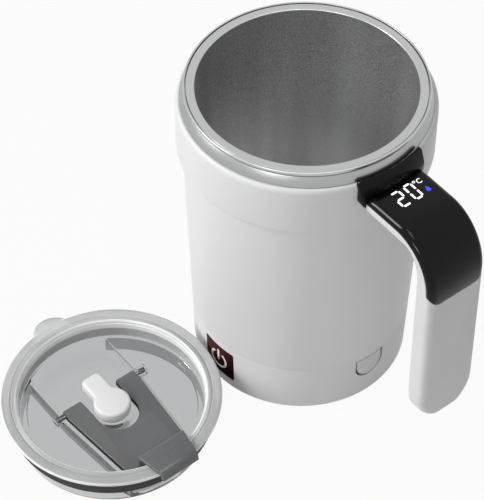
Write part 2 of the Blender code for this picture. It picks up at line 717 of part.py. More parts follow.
def base_ring():
    """The lower white ring: button window, port and the bosses inside."""
    spigot = shell_inside(shell_foot) - FIT
    inside = foot_radius - SHELL_WALL
    cover_seat = cover_top + FIT
    rib_inner = foot_radius - COVER_INSET - RIB_WIDTH
    edge_height = BASE_LIFT + BASE_EDGE
    profile = [(spigot, seam_height + SPIGOT_HEIGHT), (spigot, seam_height),
               (body_radius(seam_height), seam_height),
               *arc(body_radius(edge_height) - BASE_EDGE, edge_height, BASE_EDGE, 0, -90, 3),
               (foot_radius - COVER_INSET + FIT, BASE_LIFT),
               (foot_radius - COVER_INSET + FIT, cover_seat), (rib_inner, cover_seat),
               (rib_inner, cover_seat + RIB_HEIGHT), (inside, cover_seat + RIB_HEIGHT),
               (inside, seam_height - SPIGOT_WALL), (spigot - SPIGOT_WALL, seam_height),
               (spigot - SPIGOT_WALL, seam_height + SPIGOT_HEIGHT)]
    piece = turned("base_ring", profile, white_plastic)
    for i, angle in enumerate(boss_angles):
        x, y = around(boss_reach, angle)
        hole = SCREW_RADIUS + SCREW_CLEARANCE
        join(piece, rod(f"boss_{i + 1}", BOSS_RADIUS, (x, y, cover_seat + FIT),
                        (x, y, board_bottom - FIT), cutter=True))
        cut(piece,
            tube_hole(f"boss_foot_hole_{i + 1}", hole, x, y, cover_seat - OVERRUN,
                      base_screw_seat + BASE_SCREW_LENGTH + FIT),
            tube_hole(f"boss_top_hole_{i + 1}", hole, x, y,
                      board_screw_seat - BOARD_SCREW_LENGTH - FIT, board_bottom + OVERRUN))
    wall_middle = foot_radius - SHELL_WALL / 2
    window = plate("button_window",
                   rounded_box(BUTTON_WIDTH + 2 * FIT, BUTTON_HEIGHT + 2 * FIT,
                               BUTTON_CORNER + FIT),
                   2 * OVERRUN, None, True, FACE_Y,
                   (BUTTON_ASIDE, -wall_middle, button_middle))
    port = plate("port_window", flap_outline(FLAP_GAP), 2 * OVERRUN, None, True, FACE_X,
                 (wall_middle, 0, usb_middle))
    return cut(piece, window, port)


base_screw_seat = cover_bottom + SCREW_HEAD_HEIGHT
board_screw_seat = board_top + FIT


def base_cover():
    """The bottom plate, with counterbores for its screws."""
    radius = foot_radius - COVER_INSET
    piece = turned("base_cover", [(0, cover_top), (radius, cover_top), (radius, cover_bottom),
                                  (0, cover_bottom)], white_plastic)
    for i, angle in enumerate(boss_angles):
        x, y = around(boss_reach, angle)
        cut(piece,
            tube_hole(f"cover_hole_{i + 1}", SCREW_RADIUS + SCREW_CLEARANCE, x, y,
                      cover_bottom, cover_top + OVERRUN),
            tube_hole(f"cover_sink_{i + 1}", SCREW_HEAD_RADIUS + SCREW_CLEARANCE, x, y,
                      cover_bottom - OVERRUN, base_screw_seat + FIT))
    return piece


def foot_pad():
    """The non-slip pad that the mug stands on."""
    top = cover_bottom - FIT
    return turned("foot_pad", [(0, top), (foot_pad_radius, top), (foot_pad_radius, 0), (0, 0)],
                  dark_rubber)


def body_cone(name, bottom, top, proud):
    """A solid cutter with the mug's taper, for trimming what lies in its wall."""
    return turned(name, [(0, top), (body_radius(top) + proud, top),
                         (body_radius(bottom) + proud, bottom), (0, bottom)], cutter=True)


def power_button():
    """The square button, with the flange that keeps it in its window."""
    flange_front = foot_radius - BUTTON_FLANGE_DEPTH
    outer = foot_radius + OVERRUN
    piece = plate("power_button", rounded_box(BUTTON_WIDTH, BUTTON_HEIGHT, BUTTON_CORNER),
                  outer - flange_front + BUTTON_FLANGE / 2, button_glass, False, FACE_Y,
                  (BUTTON_ASIDE, -(outer + flange_front - BUTTON_FLANGE / 2) / 2,
                   button_middle))
    trim(piece, body_cone("button_face", BASE_LIFT, shell_foot, BUTTON_PROUD))
    flange = plate("button_flange",
                   rounded_box(BUTTON_WIDTH + 2 * BUTTON_FLANGE,
                               BUTTON_HEIGHT + BUTTON_FLANGE, BUTTON_FLANGE),
                   BUTTON_FLANGE, None, True, FACE_Y,
                   (BUTTON_ASIDE, -(flange_front - BUTTON_FLANGE / 2), button_middle))
    return join(piece, flange)


def power_switch():
    """The small push switch on the board behind the button."""
    tip = foot_radius - BUTTON_FLANGE_DEPTH - BUTTON_FLANGE - BUTTON_TRAVEL - FIT
    front = tip - SWITCH_STEM_LENGTH
    bottom = board_top + FIT
    middle = bottom + SWITCH_HEIGHT / 2
    piece = block("power_switch", (SWITCH_WIDTH, SWITCH_LENGTH, SWITCH_HEIGHT),
                  (BUTTON_ASIDE, -(front - SWITCH_LENGTH / 2), middle), black_plastic)
    return join(piece, rod("switch_stem", SWITCH_STEM_RADIUS,
                           (BUTTON_ASIDE, -(front - SWITCH_LENGTH / 2), middle),
                           (BUTTON_ASIDE, -tip, middle), cutter=True))


def port_flap():
    """The soft cover of the charging port, flush with the wall."""
    surface = body_radius(usb_middle)
    depth = FLAP_THICKNESS + OVERRUN
    piece = plate("port_flap", flap_outline(), depth, flap_plastic, False, FACE_X,
                  (surface - FLAP_THICKNESS + depth / 2, 0, usb_middle))
    trim(piece, body_cone("flap_face", BASE_LIFT, shell_foot, 0))
    hinge = (surface - FLAP_HINGE_INSET, 0, usb_middle + FLAP_HEIGHT / 2 - FLAP_HINGE_DROP)
    return carry("flap_hinge", hinge, [piece])


def usb_socket():
    """The charging socket on the board, open towards the flap."""
    mouth = foot_radius - USB_INSET
    edge = USB_HEIGHT / 4
    piece = block("usb_socket", (USB_LENGTH, USB_WIDTH, USB_HEIGHT),
                  (mouth - USB_LENGTH / 2, 0, usb_middle), plain_steel)
    inside = block("usb_inside", (USB_LENGTH, USB_WIDTH - 2 * USB_WALL,
                                  USB_HEIGHT - 2 * USB_WALL),
                   (mouth - USB_LENGTH / 2 + edge, 0, usb_middle), cutter=True)
    tongue = block("usb_tongue", (USB_LENGTH - 2 * edge, USB_WIDTH - 4 * USB_TONGUE_GAP,
                                  USB_HEIGHT - 2 * USB_WALL - 2 * USB_TONGUE_GAP + USB_WALL),
                   (mouth - USB_LENGTH / 2 - edge / 2, 0, usb_middle), cutter=True)
    return join(cut(piece, inside), tongue)


def main_board():
    """The round circuit board on the base ring's bosses."""
    piece = turned("main_board", [(0, board_top), (board_radius, board_top),
                                  (board_radius, board_bottom), (0, board_bottom)],
                   circuit_green)
    for i, angle in enumerate(boss_angles):
        x, y = around(boss_reach, angle)
        cut(piece, tube_hole(f"board_hole_{i + 1}", SCREW_RADIUS + SCREW_CLEARANCE, x, y,
                             board_bottom - OVERRUN, board_top + OVERRUN))
    return piece


def battery():
    """The flat rechargeable cell on the bottom plate."""
    return block("battery", (battery_length, battery_width, battery_height),
                 (0, 0, battery_bottom + battery_height / 2), battery_foil,
                 edge=BATTERY_EDGE)


# Motor and stirrer

def motor():
    """The motor's can and front boss, with the bore that its shaft turns in."""
    boss_top = motor_top + MOTOR_BOSS_HEIGHT
    hole = SHAFT_RADIUS + FIT
    bore_bottom = motor_top - SHAFT_DEPTH - FIT
    profile = [(0, bore_bottom), (hole, bore_bottom), (hole, boss_top),
               (MOTOR_BOSS_RADIUS, boss_top), (MOTOR_BOSS_RADIUS, motor_top),
               (MOTOR_RADIUS, motor_top), (MOTOR_RADIUS, motor_bottom), (0, motor_bottom)]
    piece = turned("motor", profile, plain_steel, BIG_STEPS // 2)
    for side in (-1, 1):
        cut(piece, tube_hole(f"motor_screw_hole_{'front' if side < 0 else 'rear'}",
                             SCREW_RADIUS + SCREW_CLEARANCE, 0, side * MOTOR_SCREW_REACH,
                             deck_top + FIT - MOTOR_SCREW_LENGTH - FIT, deck_top))
    return piece


def motor_deck():
    """The plate that carries the motor on the shell's ledge."""
    radius = shell_inside(deck_bottom) - FIT
    hole = MOTOR_BOSS_RADIUS + FIT
    piece = turned("motor_deck", [(hole, deck_top), (radius, deck_top), (radius, deck_bottom),
                                  (hole, deck_bottom)], black_plastic)
    low, high = deck_bottom - OVERRUN, deck_top + OVERRUN
    cut(piece, tube_hole("deck_lead_hole", LEAD_RADIUS + LEAD_CLEARANCE, lead_reach, 0,
                         low, high))
    for i, angle in enumerate(screw_angles):
        cut(piece, tube_hole(f"deck_hole_{i + 1}", SCREW_RADIUS + SCREW_CLEARANCE,
                             *around(deck_screw_reach, angle), low, high))
    for side in (-1, 1):
        cut(piece, tube_hole(f"deck_motor_hole_{'front' if side < 0 else 'rear'}",
                             SCREW_RADIUS + SCREW_CLEARANCE, 0, side * MOTOR_SCREW_REACH,
                             low, high))
    return piece


def drive():
    """The shaft, the magnet carrier and its two magnets, all of which turn."""
    shaft = turned("motor_shaft", [(0, carrier_top - FIT), (SHAFT_RADIUS, carrier_top - FIT),
                                   (SHAFT_RADIUS, motor_top - SHAFT_DEPTH),
                                   (0, motor_top - SHAFT_DEPTH)], plain_steel, SMALL_STEPS)
    hole = SHAFT_RADIUS + FIT
    carrier = turned("magnet_carrier",
                     [(hole, carrier_top), (CARRIER_RADIUS, carrier_top),
                      (CARRIER_RADIUS, carrier_bottom), (hole, carrier_bottom)],
                     white_plastic, BIG_STEPS // 2)
    magnets = []
    for side, label in ((-1, "left"), (1, "right")):
        x = side * MAGNET_REACH
        bottom = carrier_top - MAGNET_HEIGHT
        cut(carrier, tube_hole(f"magnet_pocket_{label}", MAGNET_RADIUS + FIT, x, 0,
                               bottom - FIT, carrier_top + OVERRUN))
        magnets.append(rod(f"drive_magnet_{label}", MAGNET_RADIUS, (x, 0, bottom),
                           (x, 0, carrier_top), plain_steel))
    return carry("motor_axis", (0, 0, carrier_bottom), [shaft, carrier, *magnets])


def stirrer():
    """The rotor that stirs the drink, with the magnets pressed in from below."""
    bottom = cup_floor + FIT
    top = bottom + ROTOR_HEIGHT
    half = ROTOR_LENGTH / 2 - ROTOR_WIDTH / 2
    outline = (arc(half, 0, ROTOR_WIDTH / 2, -90, 90, 8)
               + arc(-half, 0, ROTOR_WIDTH / 2, 90, 270, 8))
    rotor = plate("stir_rotor", outline, ROTOR_HEIGHT, white_silicone,
                  at=(0, 0, (bottom + top) / 2))
    join(rotor, rod("rotor_hub", ROTOR_HUB_RADIUS, (0, 0, bottom + FIT),
                    (0, 0, top + ROTOR_HUB_RISE), cutter=True))
    cut(rotor, tube_hole("rotor_bore", STUD_RADIUS + FIT, 0, 0, bottom - OVERRUN,
                         cup_floor + STUD_HEIGHT + FIT))
    magnets = []
    for side, label in ((-1, "left"), (1, "right")):
        x = side * MAGNET_REACH
        cut(rotor, tube_hole(f"rotor_pocket_{label}", ROTOR_MAGNET_RADIUS + FIT, x, 0,
                             bottom - OVERRUN, bottom + ROTOR_MAGNET_HEIGHT + FIT))
        magnets.append(rod(f"rotor_magnet_{label}", ROTOR_MAGNET_RADIUS, (x, 0, bottom),
                           (x, 0, bottom + ROTOR_MAGNET_HEIGHT), plain_steel))
    return carry("stirrer_axis", (0, 0, cup_floor), [rotor, *magnets])


def temperature_sensor():
    """The sensor that feels the cup's floor, and the foam that holds it up."""
    length, width, height = SENSOR_SIZE
    sensor_top = cup_bottom - FIT
    sensor = block("temp_sensor", SENSOR_SIZE, (0, SENSOR_REACH, sensor_top - height / 2),
                   black_plastic)
    foam_top = sensor_top - height - FIT
    foam_bottom = deck_top + FIT
    foam = block("sensor_foam", (length + 2 * SENSOR_CUSHION_MARGIN,
                                 width + 2 * SENSOR_CUSHION_MARGIN, foam_top - foam_bottom),
                 (0, SENSOR_REACH, (foam_top + foam_bottom) / 2), foam_grey)
    return sensor, foam


def screws():
    """All the screws, each held in its own hole."""
    up = Matrix()
    over = Matrix.Rotation(math.pi, 4, "X")
    for i, angle in enumerate(boss_angles):
        x, y = around(boss_reach, angle)
        screw(f"base_screw_{i + 1}", (x, y, base_screw_seat), over, BASE_SCREW_LENGTH)
        screw(f"board_screw_{i + 1}", (x, y, board_screw_seat), up, BOARD_SCREW_LENGTH)
    for i, angle in enumerate(screw_angles):
        screw(f"deck_screw_{i + 1}", (*around(deck_screw_reach, angle), deck_top + FIT), up,
              DECK_SCREW_LENGTH)
    for side, label in ((-1, "front"), (1, "rear")):
        screw(f"motor_screw_{label}", (0, side * MOTOR_SCREW_REACH, deck_top + FIT), up,
              MOTOR_SCREW_LENGTH)
    inward = Matrix.Rotation(-math.pi / 2, 4, "Y")
    for side, label in ((-1, "right"), (1, "left")):
        screw(f"handle_screw_{label}",
              (handle_screw_seat, side * HANDLE_SCREW_SPREAD, handle_screw_height), inward,
              HANDLE_SCREW_LENGTH)


def cup_gap(z):
    """Radius of the middle of the space between the cup and the outer wall."""
    return (cup_radius(z) + CUP_WALL + shell_inside(z)) / 2


def leads():
    """The wires inside: motor, battery and display."""
    room = LEAD_RADIUS + FIT
    motor_x = MOTOR_RADIUS / 2
    wire("motor_lead", [(motor_x, 0, motor_bottom - FIT), (motor_x, 0, board_top + FIT)],
         LEAD_RADIUS, lead_red)
    battery_x = battery_length / 2 + FIT
    bend = battery_x + LEAD_RADIUS + BATTERY_HEADROOM / 2
    battery_z = battery_bottom + battery_height / 2
    wire("battery_lead", [(battery_x, 0, battery_z), (bend, 0, battery_z + room),
                          (bend + room, 0, battery_z + 2 * room),
                          (bend + room, 0, board_bottom - FIT)], LEAD_RADIUS, lead_red)
    board_end = foot_radius - USB_INSET - USB_LENGTH - USB_WIDTH / 2
    gap_foot = cup_floor + CUP_CORNER
    gap_top = lead_height - ARM_THICKNESS / 2
    pocket_x = bracket_outer + POCKET_START + room
    wire("display_lead",
         [(board_end, 0, board_top + FIT), (board_end, 0, motor_bottom - room),
          (board_end + USB_LENGTH, 0, motor_bottom + room), (lead_reach, 0, slope_bottom),
          (lead_reach, 0, deck_top + room), (cup_gap(gap_foot), 0, cup_floor),
          (cup_gap(gap_foot), 0, gap_foot), (cup_gap(gap_top), 0, gap_top),
          (cup_gap(gap_top) + FIT, 0, lead_height - LEAD_RADIUS),
          (cup_gap(gap_top) + room, 0, lead_height), (pocket_x, 0, lead_height)],
         LEAD_RADIUS, lead_red)


# Handle

def bracket_outline():
    """The bracket seen from outside: small corners at the top and large ones below."""
    half, high = BRACKET_WIDTH / 2, BRACKET_HEIGHT / 2
    return [point for sy, sz, corner, start in (
                (1, -1, BRACKET_CORNER, -90), (1, 1, BRACKET_TOP_CORNER, 0),
                (-1, 1, BRACKET_TOP_CORNER, 90), (-1, -1, BRACKET_CORNER, 180))
            for point in arc(sy * (half - corner), sz * (high - corner), corner, start,
                             start + 90, 3)]


def handle_bracket():
    """The black plate on the collar, which leans in to a thin ridge along its top."""
    middle = (bracket_top + bracket_bottom) / 2
    lean = collar_edge - shell_top
    near = neck_radius(bracket_top)
    lean_height = bracket_top - handle_top
    steps = [i / ARC_STEPS for i in range(ARC_STEPS, -1, -1)]
    face = [(bracket_outer - BRACKET_LEAN * step ** BRACKET_LEAN_POWER,
             handle_top + lean_height * step) for step in steps]
    profile = [(near + BRACKET_RIDGE + FIT, bracket_top - BRACKET_RIDGE / 2),
               (near + 2 * BRACKET_RIDGE, bracket_top), *face,
               (bracket_outer, bracket_bottom - OVERRUN),
               (bracket_inner, bracket_bottom - OVERRUN), (bracket_inner, shell_top),
               (bracket_inner - lean / 8, collar_edge - lean / 4)]
    piece = turned("handle_bracket", profile, black_plastic)
    trim(piece, plate("bracket_outline", bracket_outline(), 2 * COLLAR_RADIUS, None, True,
                      FACE_X, (2 * COLLAR_RADIUS - OVERRUN, 0, middle)))
    return cut(piece, *handle_holes("bracket"))


def handle_section(outer, inner, half):
    """A rounded rectangle across the handle between two points of its side view."""
    outer, inner = Vector((outer[0], 0, outer[1])), Vector((inner[0], 0, inner[1]))
    depth = (outer - inner).length
    across = (outer - inner).normalized()
    middle = (outer + inner) / 2
    section = []
    for sy, sn, start, edge in ((1, 1, 0, HANDLE_EDGE), (-1, 1, 90, HANDLE_EDGE),
                                (-1, -1, 180, HANDLE_INNER_EDGE),
                                (1, -1, 270, HANDLE_INNER_EDGE)):
        edge = min(edge, half * 2 / 3, depth / 3)
        for y, n in arc(sy * (half - edge), sn * (depth / 2 - edge), edge, start, start + 90, 3):
            section.append(middle + across * n + Vector((0, y, 0)))
    return section


def handle_form(name, cutter):
    """The whole handle as one solid: arm, bend, grip and rounded lower end."""
    half = HANDLE_WIDTH / 2
    arm_bottom = handle_top - ARM_THICKNESS
    bend = (grip_reach - BEND_REACH, handle_top - BEND_DROP)
    grip_inside = grip_reach - GRIP_THICKNESS
    inner_bend = (grip_inside - INNER_BEND_REACH, arm_bottom - INNER_BEND_DROP)
    start = mouth_radius + LIP_EDGE
    sections = [handle_section((start, handle_top), (start, arm_bottom), half)]
    for i in range(BEND_STEPS + 1):
        turn = math.radians(90 - 90 * i / BEND_STEPS)
        sections.append(handle_section(
            (bend[0] + BEND_REACH * math.cos(turn), bend[1] + BEND_DROP * math.sin(turn)),
            (inner_bend[0] + INNER_BEND_REACH * math.cos(turn),
             inner_bend[1] + INNER_BEND_DROP * math.sin(turn)), half))
    corner_height = handle_foot + GRIP_CORNER_RISE
    for i in range(TIP_STEPS + 1):
        turn = math.radians(90 * i / TIP_STEPS)
        z = corner_height - GRIP_CORNER_RISE * math.sin(turn)
        rise = min(max(0.0, GRIP_TIP - (z - handle_foot)), GRIP_TIP)
        inset = GRIP_TIP - math.sqrt(GRIP_TIP ** 2 - rise ** 2)
        sections.append(handle_section(
            (grip_reach + GRIP_LEAN - inset, z), (grip_inside + GRIP_LEAN + inset, z),
            half - GRIP_CORNER * (1 - math.cos(turn))))
    return loft(name, sections, None, cutter)


def cover_region(name, extra):
    """The space that the glossy cover fills, grown by extra on all sides."""
    depth = COVER_PLATE + extra
    middle = (grip_reach - BEND_REACH, handle_top - BEND_DROP)
    bend = [(middle[0] + (BEND_REACH - depth) * math.cos(a),
             middle[1] + (BEND_DROP - depth) * math.sin(a))
            for a in (math.radians(90 - 90 * i / BEND_STEPS) for i in range(BEND_STEPS + 1))]
    lower = handle_top - COVER_LENGTH - OVERRUN
    far = grip_reach + 2 * OVERRUN
    side_view = [(mouth_radius, handle_top - depth), *bend,
                 (grip_reach + GRIP_LEAN - depth, lower), (far, lower),
                 (far, handle_top + OVERRUN), (mouth_radius, handle_top + OVERRUN)]
    region = plate(name, side_view, HANDLE_WIDTH + OVERRUN, None, True, FACE_Y)
    height = COVER_LENGTH + 2 * OVERRUN + extra
    corner = COVER_CORNER + extra
    half = HANDLE_WIDTH / 2 + extra
    front_view = [(half, height / 2), (-half, height / 2),
                  *arc(corner - half, corner - height / 2, corner, 180, 270),
                  *arc(half - corner, corner - height / 2, corner, 270, 360)]
    front = plate(name + "_front", front_view, 2 * far, None, True, FACE_X,
                  (far, 0, handle_top + 2 * OVERRUN - height / 2))
    return trim(region, front)


def collar_clearance(name):
    """What the arm's end leaves free: the bracket and, under it, the collar."""
    step = bracket_bottom - FIT
    outside, inside = bracket_outer + FIT, COLLAR_RADIUS + FIT
    return turned(name, [(0, MUG_HEIGHT), (outside, MUG_HEIGHT), (outside, step),
                         (inside, step), (inside, collar_foot), (0, collar_foot)],
                  cutter=True)


def display_pocket(name):
    """The hollow for the display, in the arm and in the cover over it."""
    start = bracket_outer + POCKET_START
    bottom = handle_top - ARM_THICKNESS + POCKET_FLOOR
    top = handle_top - COVER_PLATE + POCKET_RISE
    return block(name, (POCKET_LENGTH, POCKET_WIDTH, top - bottom),
                 (start + POCKET_LENGTH / 2, 0, (top + bottom) / 2), cutter=True)


def handle():
    """The pale grip, the glossy cover and the display between them."""
    grip = settle(handle_form("handle_grip", False), "handle_grip", grip_plastic)
    cut(grip, cover_region("cover_space", FIT), collar_clearance("grip_end"),
        display_pocket("grip_pocket"), *handle_holes("grip"))
    cover = settle(handle_form("handle_cover", False), "handle_cover", black_gloss)
    trim(cover, cover_region("cover_shape", 0))
    cut(cover, collar_clearance("cover_end"), display_pocket("cover_pocket"),
        *handle_holes("cover"))
    start = bracket_outer + POCKET_START + DISPLAY_BOARD_SETBACK
    length = POCKET_LENGTH - DISPLAY_BOARD_SETBACK - FIT
    width = POCKET_WIDTH - 2 * FIT
    board_low = handle_top - ARM_THICKNESS + POCKET_FLOOR + FIT
    block("display_board", (length, width, DISPLAY_BOARD_THICKNESS),
          (start + length / 2, 0, board_low + DISPLAY_BOARD_THICKNESS / 2), circuit_green)
    module_low = board_low + DISPLAY_BOARD_THICKNESS + FIT
    margin = 2 * DISPLAY_MODULE_MARGIN
    block("display_module", (length - margin, width - margin, DISPLAY_MODULE_HEIGHT),
          (start + length / 2, 0, module_low + DISPLAY_MODULE_HEIGHT / 2), white_plastic)


# Lid

def channel_outline(half, front_half, radius):
    """Top view of the lever's channel: two walls that close in, and round ends."""
    back_turn = math.degrees(math.asin(half / radius))
    front_turn = math.degrees(math.asin(front_half / radius))
    return [*arc(0, 0, radius, 180 - back_turn, 180 + back_turn, 8),
            (CHANNEL_BEND, -half), *arc(0, 0, radius, -front_turn, front_turn, 8),
            (CHANNEL_BEND, half)]


def deck_outline(side):
    """Top view of the hollow under a side deck, on one side of the channel."""
    half = CHANNEL_HALF + CHANNEL_WALL
    front_half = CHANNEL_FRONT_HALF + CHANNEL_WALL
    radius = lid_well_radius
    back_turn = math.degrees(math.asin(half / radius))
    front_turn = math.degrees(math.asin(front_half / radius))
    outline = [(CHANNEL_BEND, half), *arc(0, 0, radius, front_turn, 180 - back_turn, 16)]
    return [(x, side * y) for x, y in outline]


def flange_bottom():
    """Height of the lid's flange underside."""
    return LID_HEIGHT - LID_FLANGE


def lid_body():
    """The clear lid: flange, skirt, side decks, channel, stopper's collar and tab."""
    edge = LID_FLANGE_EDGE
    under = flange_bottom()
    groove_foot = under - GASKET_HEIGHT
    skirt_foot = lid_skirt_radius - LID_SKIRT_TAPER
    groove = lid_skirt_radius - GASKET_DEPTH
    profile = [(0, LID_DECK_HEIGHT), (lid_well_radius, LID_DECK_HEIGHT),
               (lid_mouth_radius - edge / 2, LID_HEIGHT - edge),
               (lid_mouth_radius, LID_HEIGHT),
               *arc(lid_radius - edge, LID_HEIGHT - edge, edge, 90, 0, 2),
               (lid_radius, under + edge), (lid_radius - edge, under),
               (groove, under), (groove, groove_foot), (lid_skirt_radius, groove_foot),
               (lid_skirt_radius, groove_foot - GASKET_RIB), (skirt_foot, edge),
               (skirt_foot - edge, 0), (0, 0)]
    piece = turned("lid_body", profile, clear_plastic)
    channel_height = LID_HEIGHT - LID_FLOOR
    channel = plate("lid_channel",
                    channel_outline(CHANNEL_HALF, CHANNEL_FRONT_HALF, channel_radius),
                    channel_height, None, True, at=(0, 0, LID_FLOOR + channel_height / 2))
    cut(piece, channel)
    hollow_top = LID_DECK_HEIGHT - LID_DECK
    hollow = hollow_top + OVERRUN
    for side, label in ((-1, "right"), (1, "left")):
        cut(piece, plate(f"deck_hollow_{label}", deck_outline(side), hollow, None, True,
                         at=(0, 0, hollow_top - hollow / 2)))
        join(piece, rod(f"pivot_boss_{label}", PIN_BOSS_RADIUS,
                        (PIVOT_REACH, side * (CHANNEL_HALF + FIT), pivot_height),
                        (PIVOT_REACH, side * (CHANNEL_HALF + PIN_BOSS_LENGTH), pivot_height),
                        cutter=True))
        cut(piece, rod(f"pivot_hole_{label}", PIN_RADIUS + FIT,
                       (PIVOT_REACH, side * PIN_INNER, pivot_height),
                       (PIVOT_REACH, side * (pin_outer + FIT), pivot_height), cutter=True))
    collar = turned("stopper_collar",
                    [(COLLAR_RING_RADIUS - COLLAR_RING_WALL, COLLAR_RING_TOP),
                     (COLLAR_RING_RADIUS, COLLAR_RING_TOP),
                     (COLLAR_RING_RADIUS, LID_FLOOR / 2),
                     (COLLAR_RING_RADIUS - COLLAR_RING_WALL, LID_FLOOR / 2)],
                    steps=BIG_STEPS // 2, cutter=True)
    tab_top = LID_HEIGHT - edge
    tab = rod("lift_tab", TAB_RADIUS, (TAB_RADIUS - tab_reach, 0, tab_top - TAB_THICKNESS),
              (TAB_RADIUS - tab_reach, 0, tab_top), cutter=True, steps=BIG_STEPS // 2)
    inside = lid_mouth_radius + edge
    cut(tab, turned("tab_trim", [(0, LID_HEIGHT), (inside, LID_HEIGHT), (inside, 0), (0, 0)],
                    steps=BIG_STEPS, cutter=True))
    join(piece, collar, tab)
    sip = (arc(sip_reach, SIP_HALF_WIDTH, SIP_RADIUS, 0, 180, 6)
           + arc(sip_reach, -SIP_HALF_WIDTH, SIP_RADIUS, 180, 360, 6))
    return cut(piece, tube_hole("stopper_hole", STOPPER_HOLE_RADIUS, 0, 0, -OVERRUN,
                                LID_FLOOR + OVERRUN),
               plate("sip_hole", sip, LID_FLOOR + OVERRUN, None, True))


pin_outer = CHANNEL_HALF + PIN_BOSS_LENGTH - PIN_RADIUS


def lid_gasket():
    """The dark ribbed ring that seals the lid in the mug's mouth."""
    top = flange_bottom() - FIT
    bottom = flange_bottom() - GASKET_HEIGHT + FIT
    inside = lid_skirt_radius - GASKET_DEPTH + FIT
    outside = lid_skirt_radius + GASKET_PROUD
    profile = [(inside, top)]
    rib_count = 4
    pitch = (top - bottom) / rib_count
    for i in range(rib_count):
        high = top - i * pitch
        profile += [(outside - GASKET_RIB, high), (outside, high - pitch / 2)]
    profile += [(outside - GASKET_RIB, bottom), (inside, bottom)]
    return turned("lid_gasket", profile, dark_rubber)


def lever_outline():
    """Top view of the flip lever up to the riser: two arms and the slot between."""
    back, front = CHANNEL_HALF - LEVER_CLEARANCE, CHANNEL_FRONT_HALF - LEVER_CLEARANCE
    slot_middle = LEVER_SLOT_END - LEVER_SLOT_HALF
    slot = arc(slot_middle, 0, LEVER_SLOT_HALF, 90, -90, 12)
    end = lever_riser + LEVER_SHEET / 2
    shoulder = lever_riser - LEVER_SHEET
    return [(end, HOOK_HALF), (shoulder, front), (CHANNEL_BEND, back), (LEVER_BACK, back),
            (LEVER_BACK, LEVER_SLOT_HALF), *slot, (LEVER_BACK, -LEVER_SLOT_HALF),
            (LEVER_BACK, -back), (CHANNEL_BEND, -back), (shoulder, -front),
            (end, -HOOK_HALF)]


def lever_hook():
    """The sheet that climbs from the lever, crosses the rim and hangs outside it."""
    foot = lever_bottom + FIT
    over = LID_HEIGHT + FIT
    outside = lid_radius + HOOK_CLEARANCE
    tip = LID_HEIGHT - HOOK_LENGTH
    edge = HOOK_EDGE
    sheet = LEVER_SHEET
    bend = 2 * edge
    side_view = [(lever_riser, foot), (lever_riser + sheet, foot),
                 (lever_riser + sheet, over), (outside, over), (outside, tip),
                 (outside + sheet, tip),
                 *arc(outside + sheet - bend, over + sheet - bend, bend, 0, 90, 4),
                 *arc(lever_riser + edge, over + sheet - edge, edge, 90, 180, 3)]
    hook = plate("lever_hook", side_view, 2 * HOOK_HALF + OVERRUN, None, True, FACE_Y)
    near, far = lever_riser - OVERRUN, outside + OVERRUN
    taper = [(near, HOOK_HALF), (near, -HOOK_HALF), (lever_riser + sheet, -HOOK_HALF),
             (outside, -HOOK_TIP_HALF), (far, -HOOK_TIP_HALF), (far, HOOK_TIP_HALF),
             (outside, HOOK_TIP_HALF), (lever_riser + sheet, HOOK_HALF)]
    return trim(hook, plate("hook_taper", taper, 2 * (over + sheet + OVERRUN), None, True))


def flip_lever():
    """The grey lever: arms and slot, and the hook that folds over the lid's edge."""
    piece = plate("flip_lever", lever_outline(), LEVER_THICKNESS, lever_plastic,
                  at=(0, 0, lever_bottom + LEVER_THICKNESS / 2))
    join(piece, lever_hook())
    outer = CHANNEL_HALF - LEVER_CLEARANCE - FIT
    for side, label in ((-1, "right"), (1, "left")):
        join(piece, rod(f"arm_barrel_{label}", PIN_BARREL_RADIUS,
                        (PIVOT_REACH, side * (LEVER_SLOT_HALF + FIT), pivot_height),
                        (PIVOT_REACH, side * outer, pivot_height), cutter=True))
        cut(piece, rod(f"arm_hole_{label}", PIN_RADIUS + FIT,
                       (PIVOT_REACH, side * (PIN_INNER - FIT), pivot_height),
                       (PIVOT_REACH, side * (CHANNEL_HALF + OVERRUN), pivot_height),
                       cutter=True))
    return piece


def lever_pins():
    """The two steel pins that the lever turns on, fixed in the lid's bosses."""
    return [rod(f"lever_pin_{label}", PIN_RADIUS,
                (PIVOT_REACH, side * PIN_INNER, pivot_height),
                (PIVOT_REACH, side * pin_outer, pivot_height), plain_steel, steps=12)
            for side, label in ((-1, "right"), (1, "left"))]


def sip_pad():
    """The pad under the lever that closes the drinking hole."""
    half = PAD_HALF_WIDTH - PAD_LENGTH / 2
    outline = (arc(sip_reach, half, PAD_LENGTH / 2, 0, 180, 8)
               + arc(sip_reach, -half, PAD_LENGTH / 2, 180, 360, 8))
    bottom = LID_FLOOR + FIT
    top = lever_bottom - FIT
    piece = plate("sip_pad", outline, top - bottom, white_silicone,
                  at=(0, 0, (top + bottom) / 2))
    return soften(piece, PAD_EDGE, 1)


def centre_stopper():
    """The white stopper: round head, pull tail and the stem in its hole."""
    bottom = COLLAR_RING_TOP + FIT
    neck = math.degrees(math.asin(STOPPER_TAIL_HALF / STOPPER_RADIUS))
    outline = [*arc(0, 0, STOPPER_RADIUS, neck - 180, 180 - neck, 18),
               (STOPPER_TAIL_END + STOPPER_EDGE, STOPPER_TAIL_HALF),
               (STOPPER_TAIL_END, STOPPER_TAIL_HALF - STOPPER_EDGE),
               (STOPPER_TAIL_END, STOPPER_EDGE - STOPPER_TAIL_HALF),
               (STOPPER_TAIL_END + STOPPER_EDGE, -STOPPER_TAIL_HALF)]
    piece = plate("centre_stopper", outline, STOPPER_TOP - bottom, white_silicone,
                  at=(0, 0, (STOPPER_TOP + bottom) / 2))
    soften(piece, STOPPER_EDGE)
    return join(piece, rod("stopper_stem", STOPPER_STEM_RADIUS, (0, 0, STOPPER_STEM_END),
                           (0, 0, bottom + STOPPER_EDGE), cutter=True, steps=24))


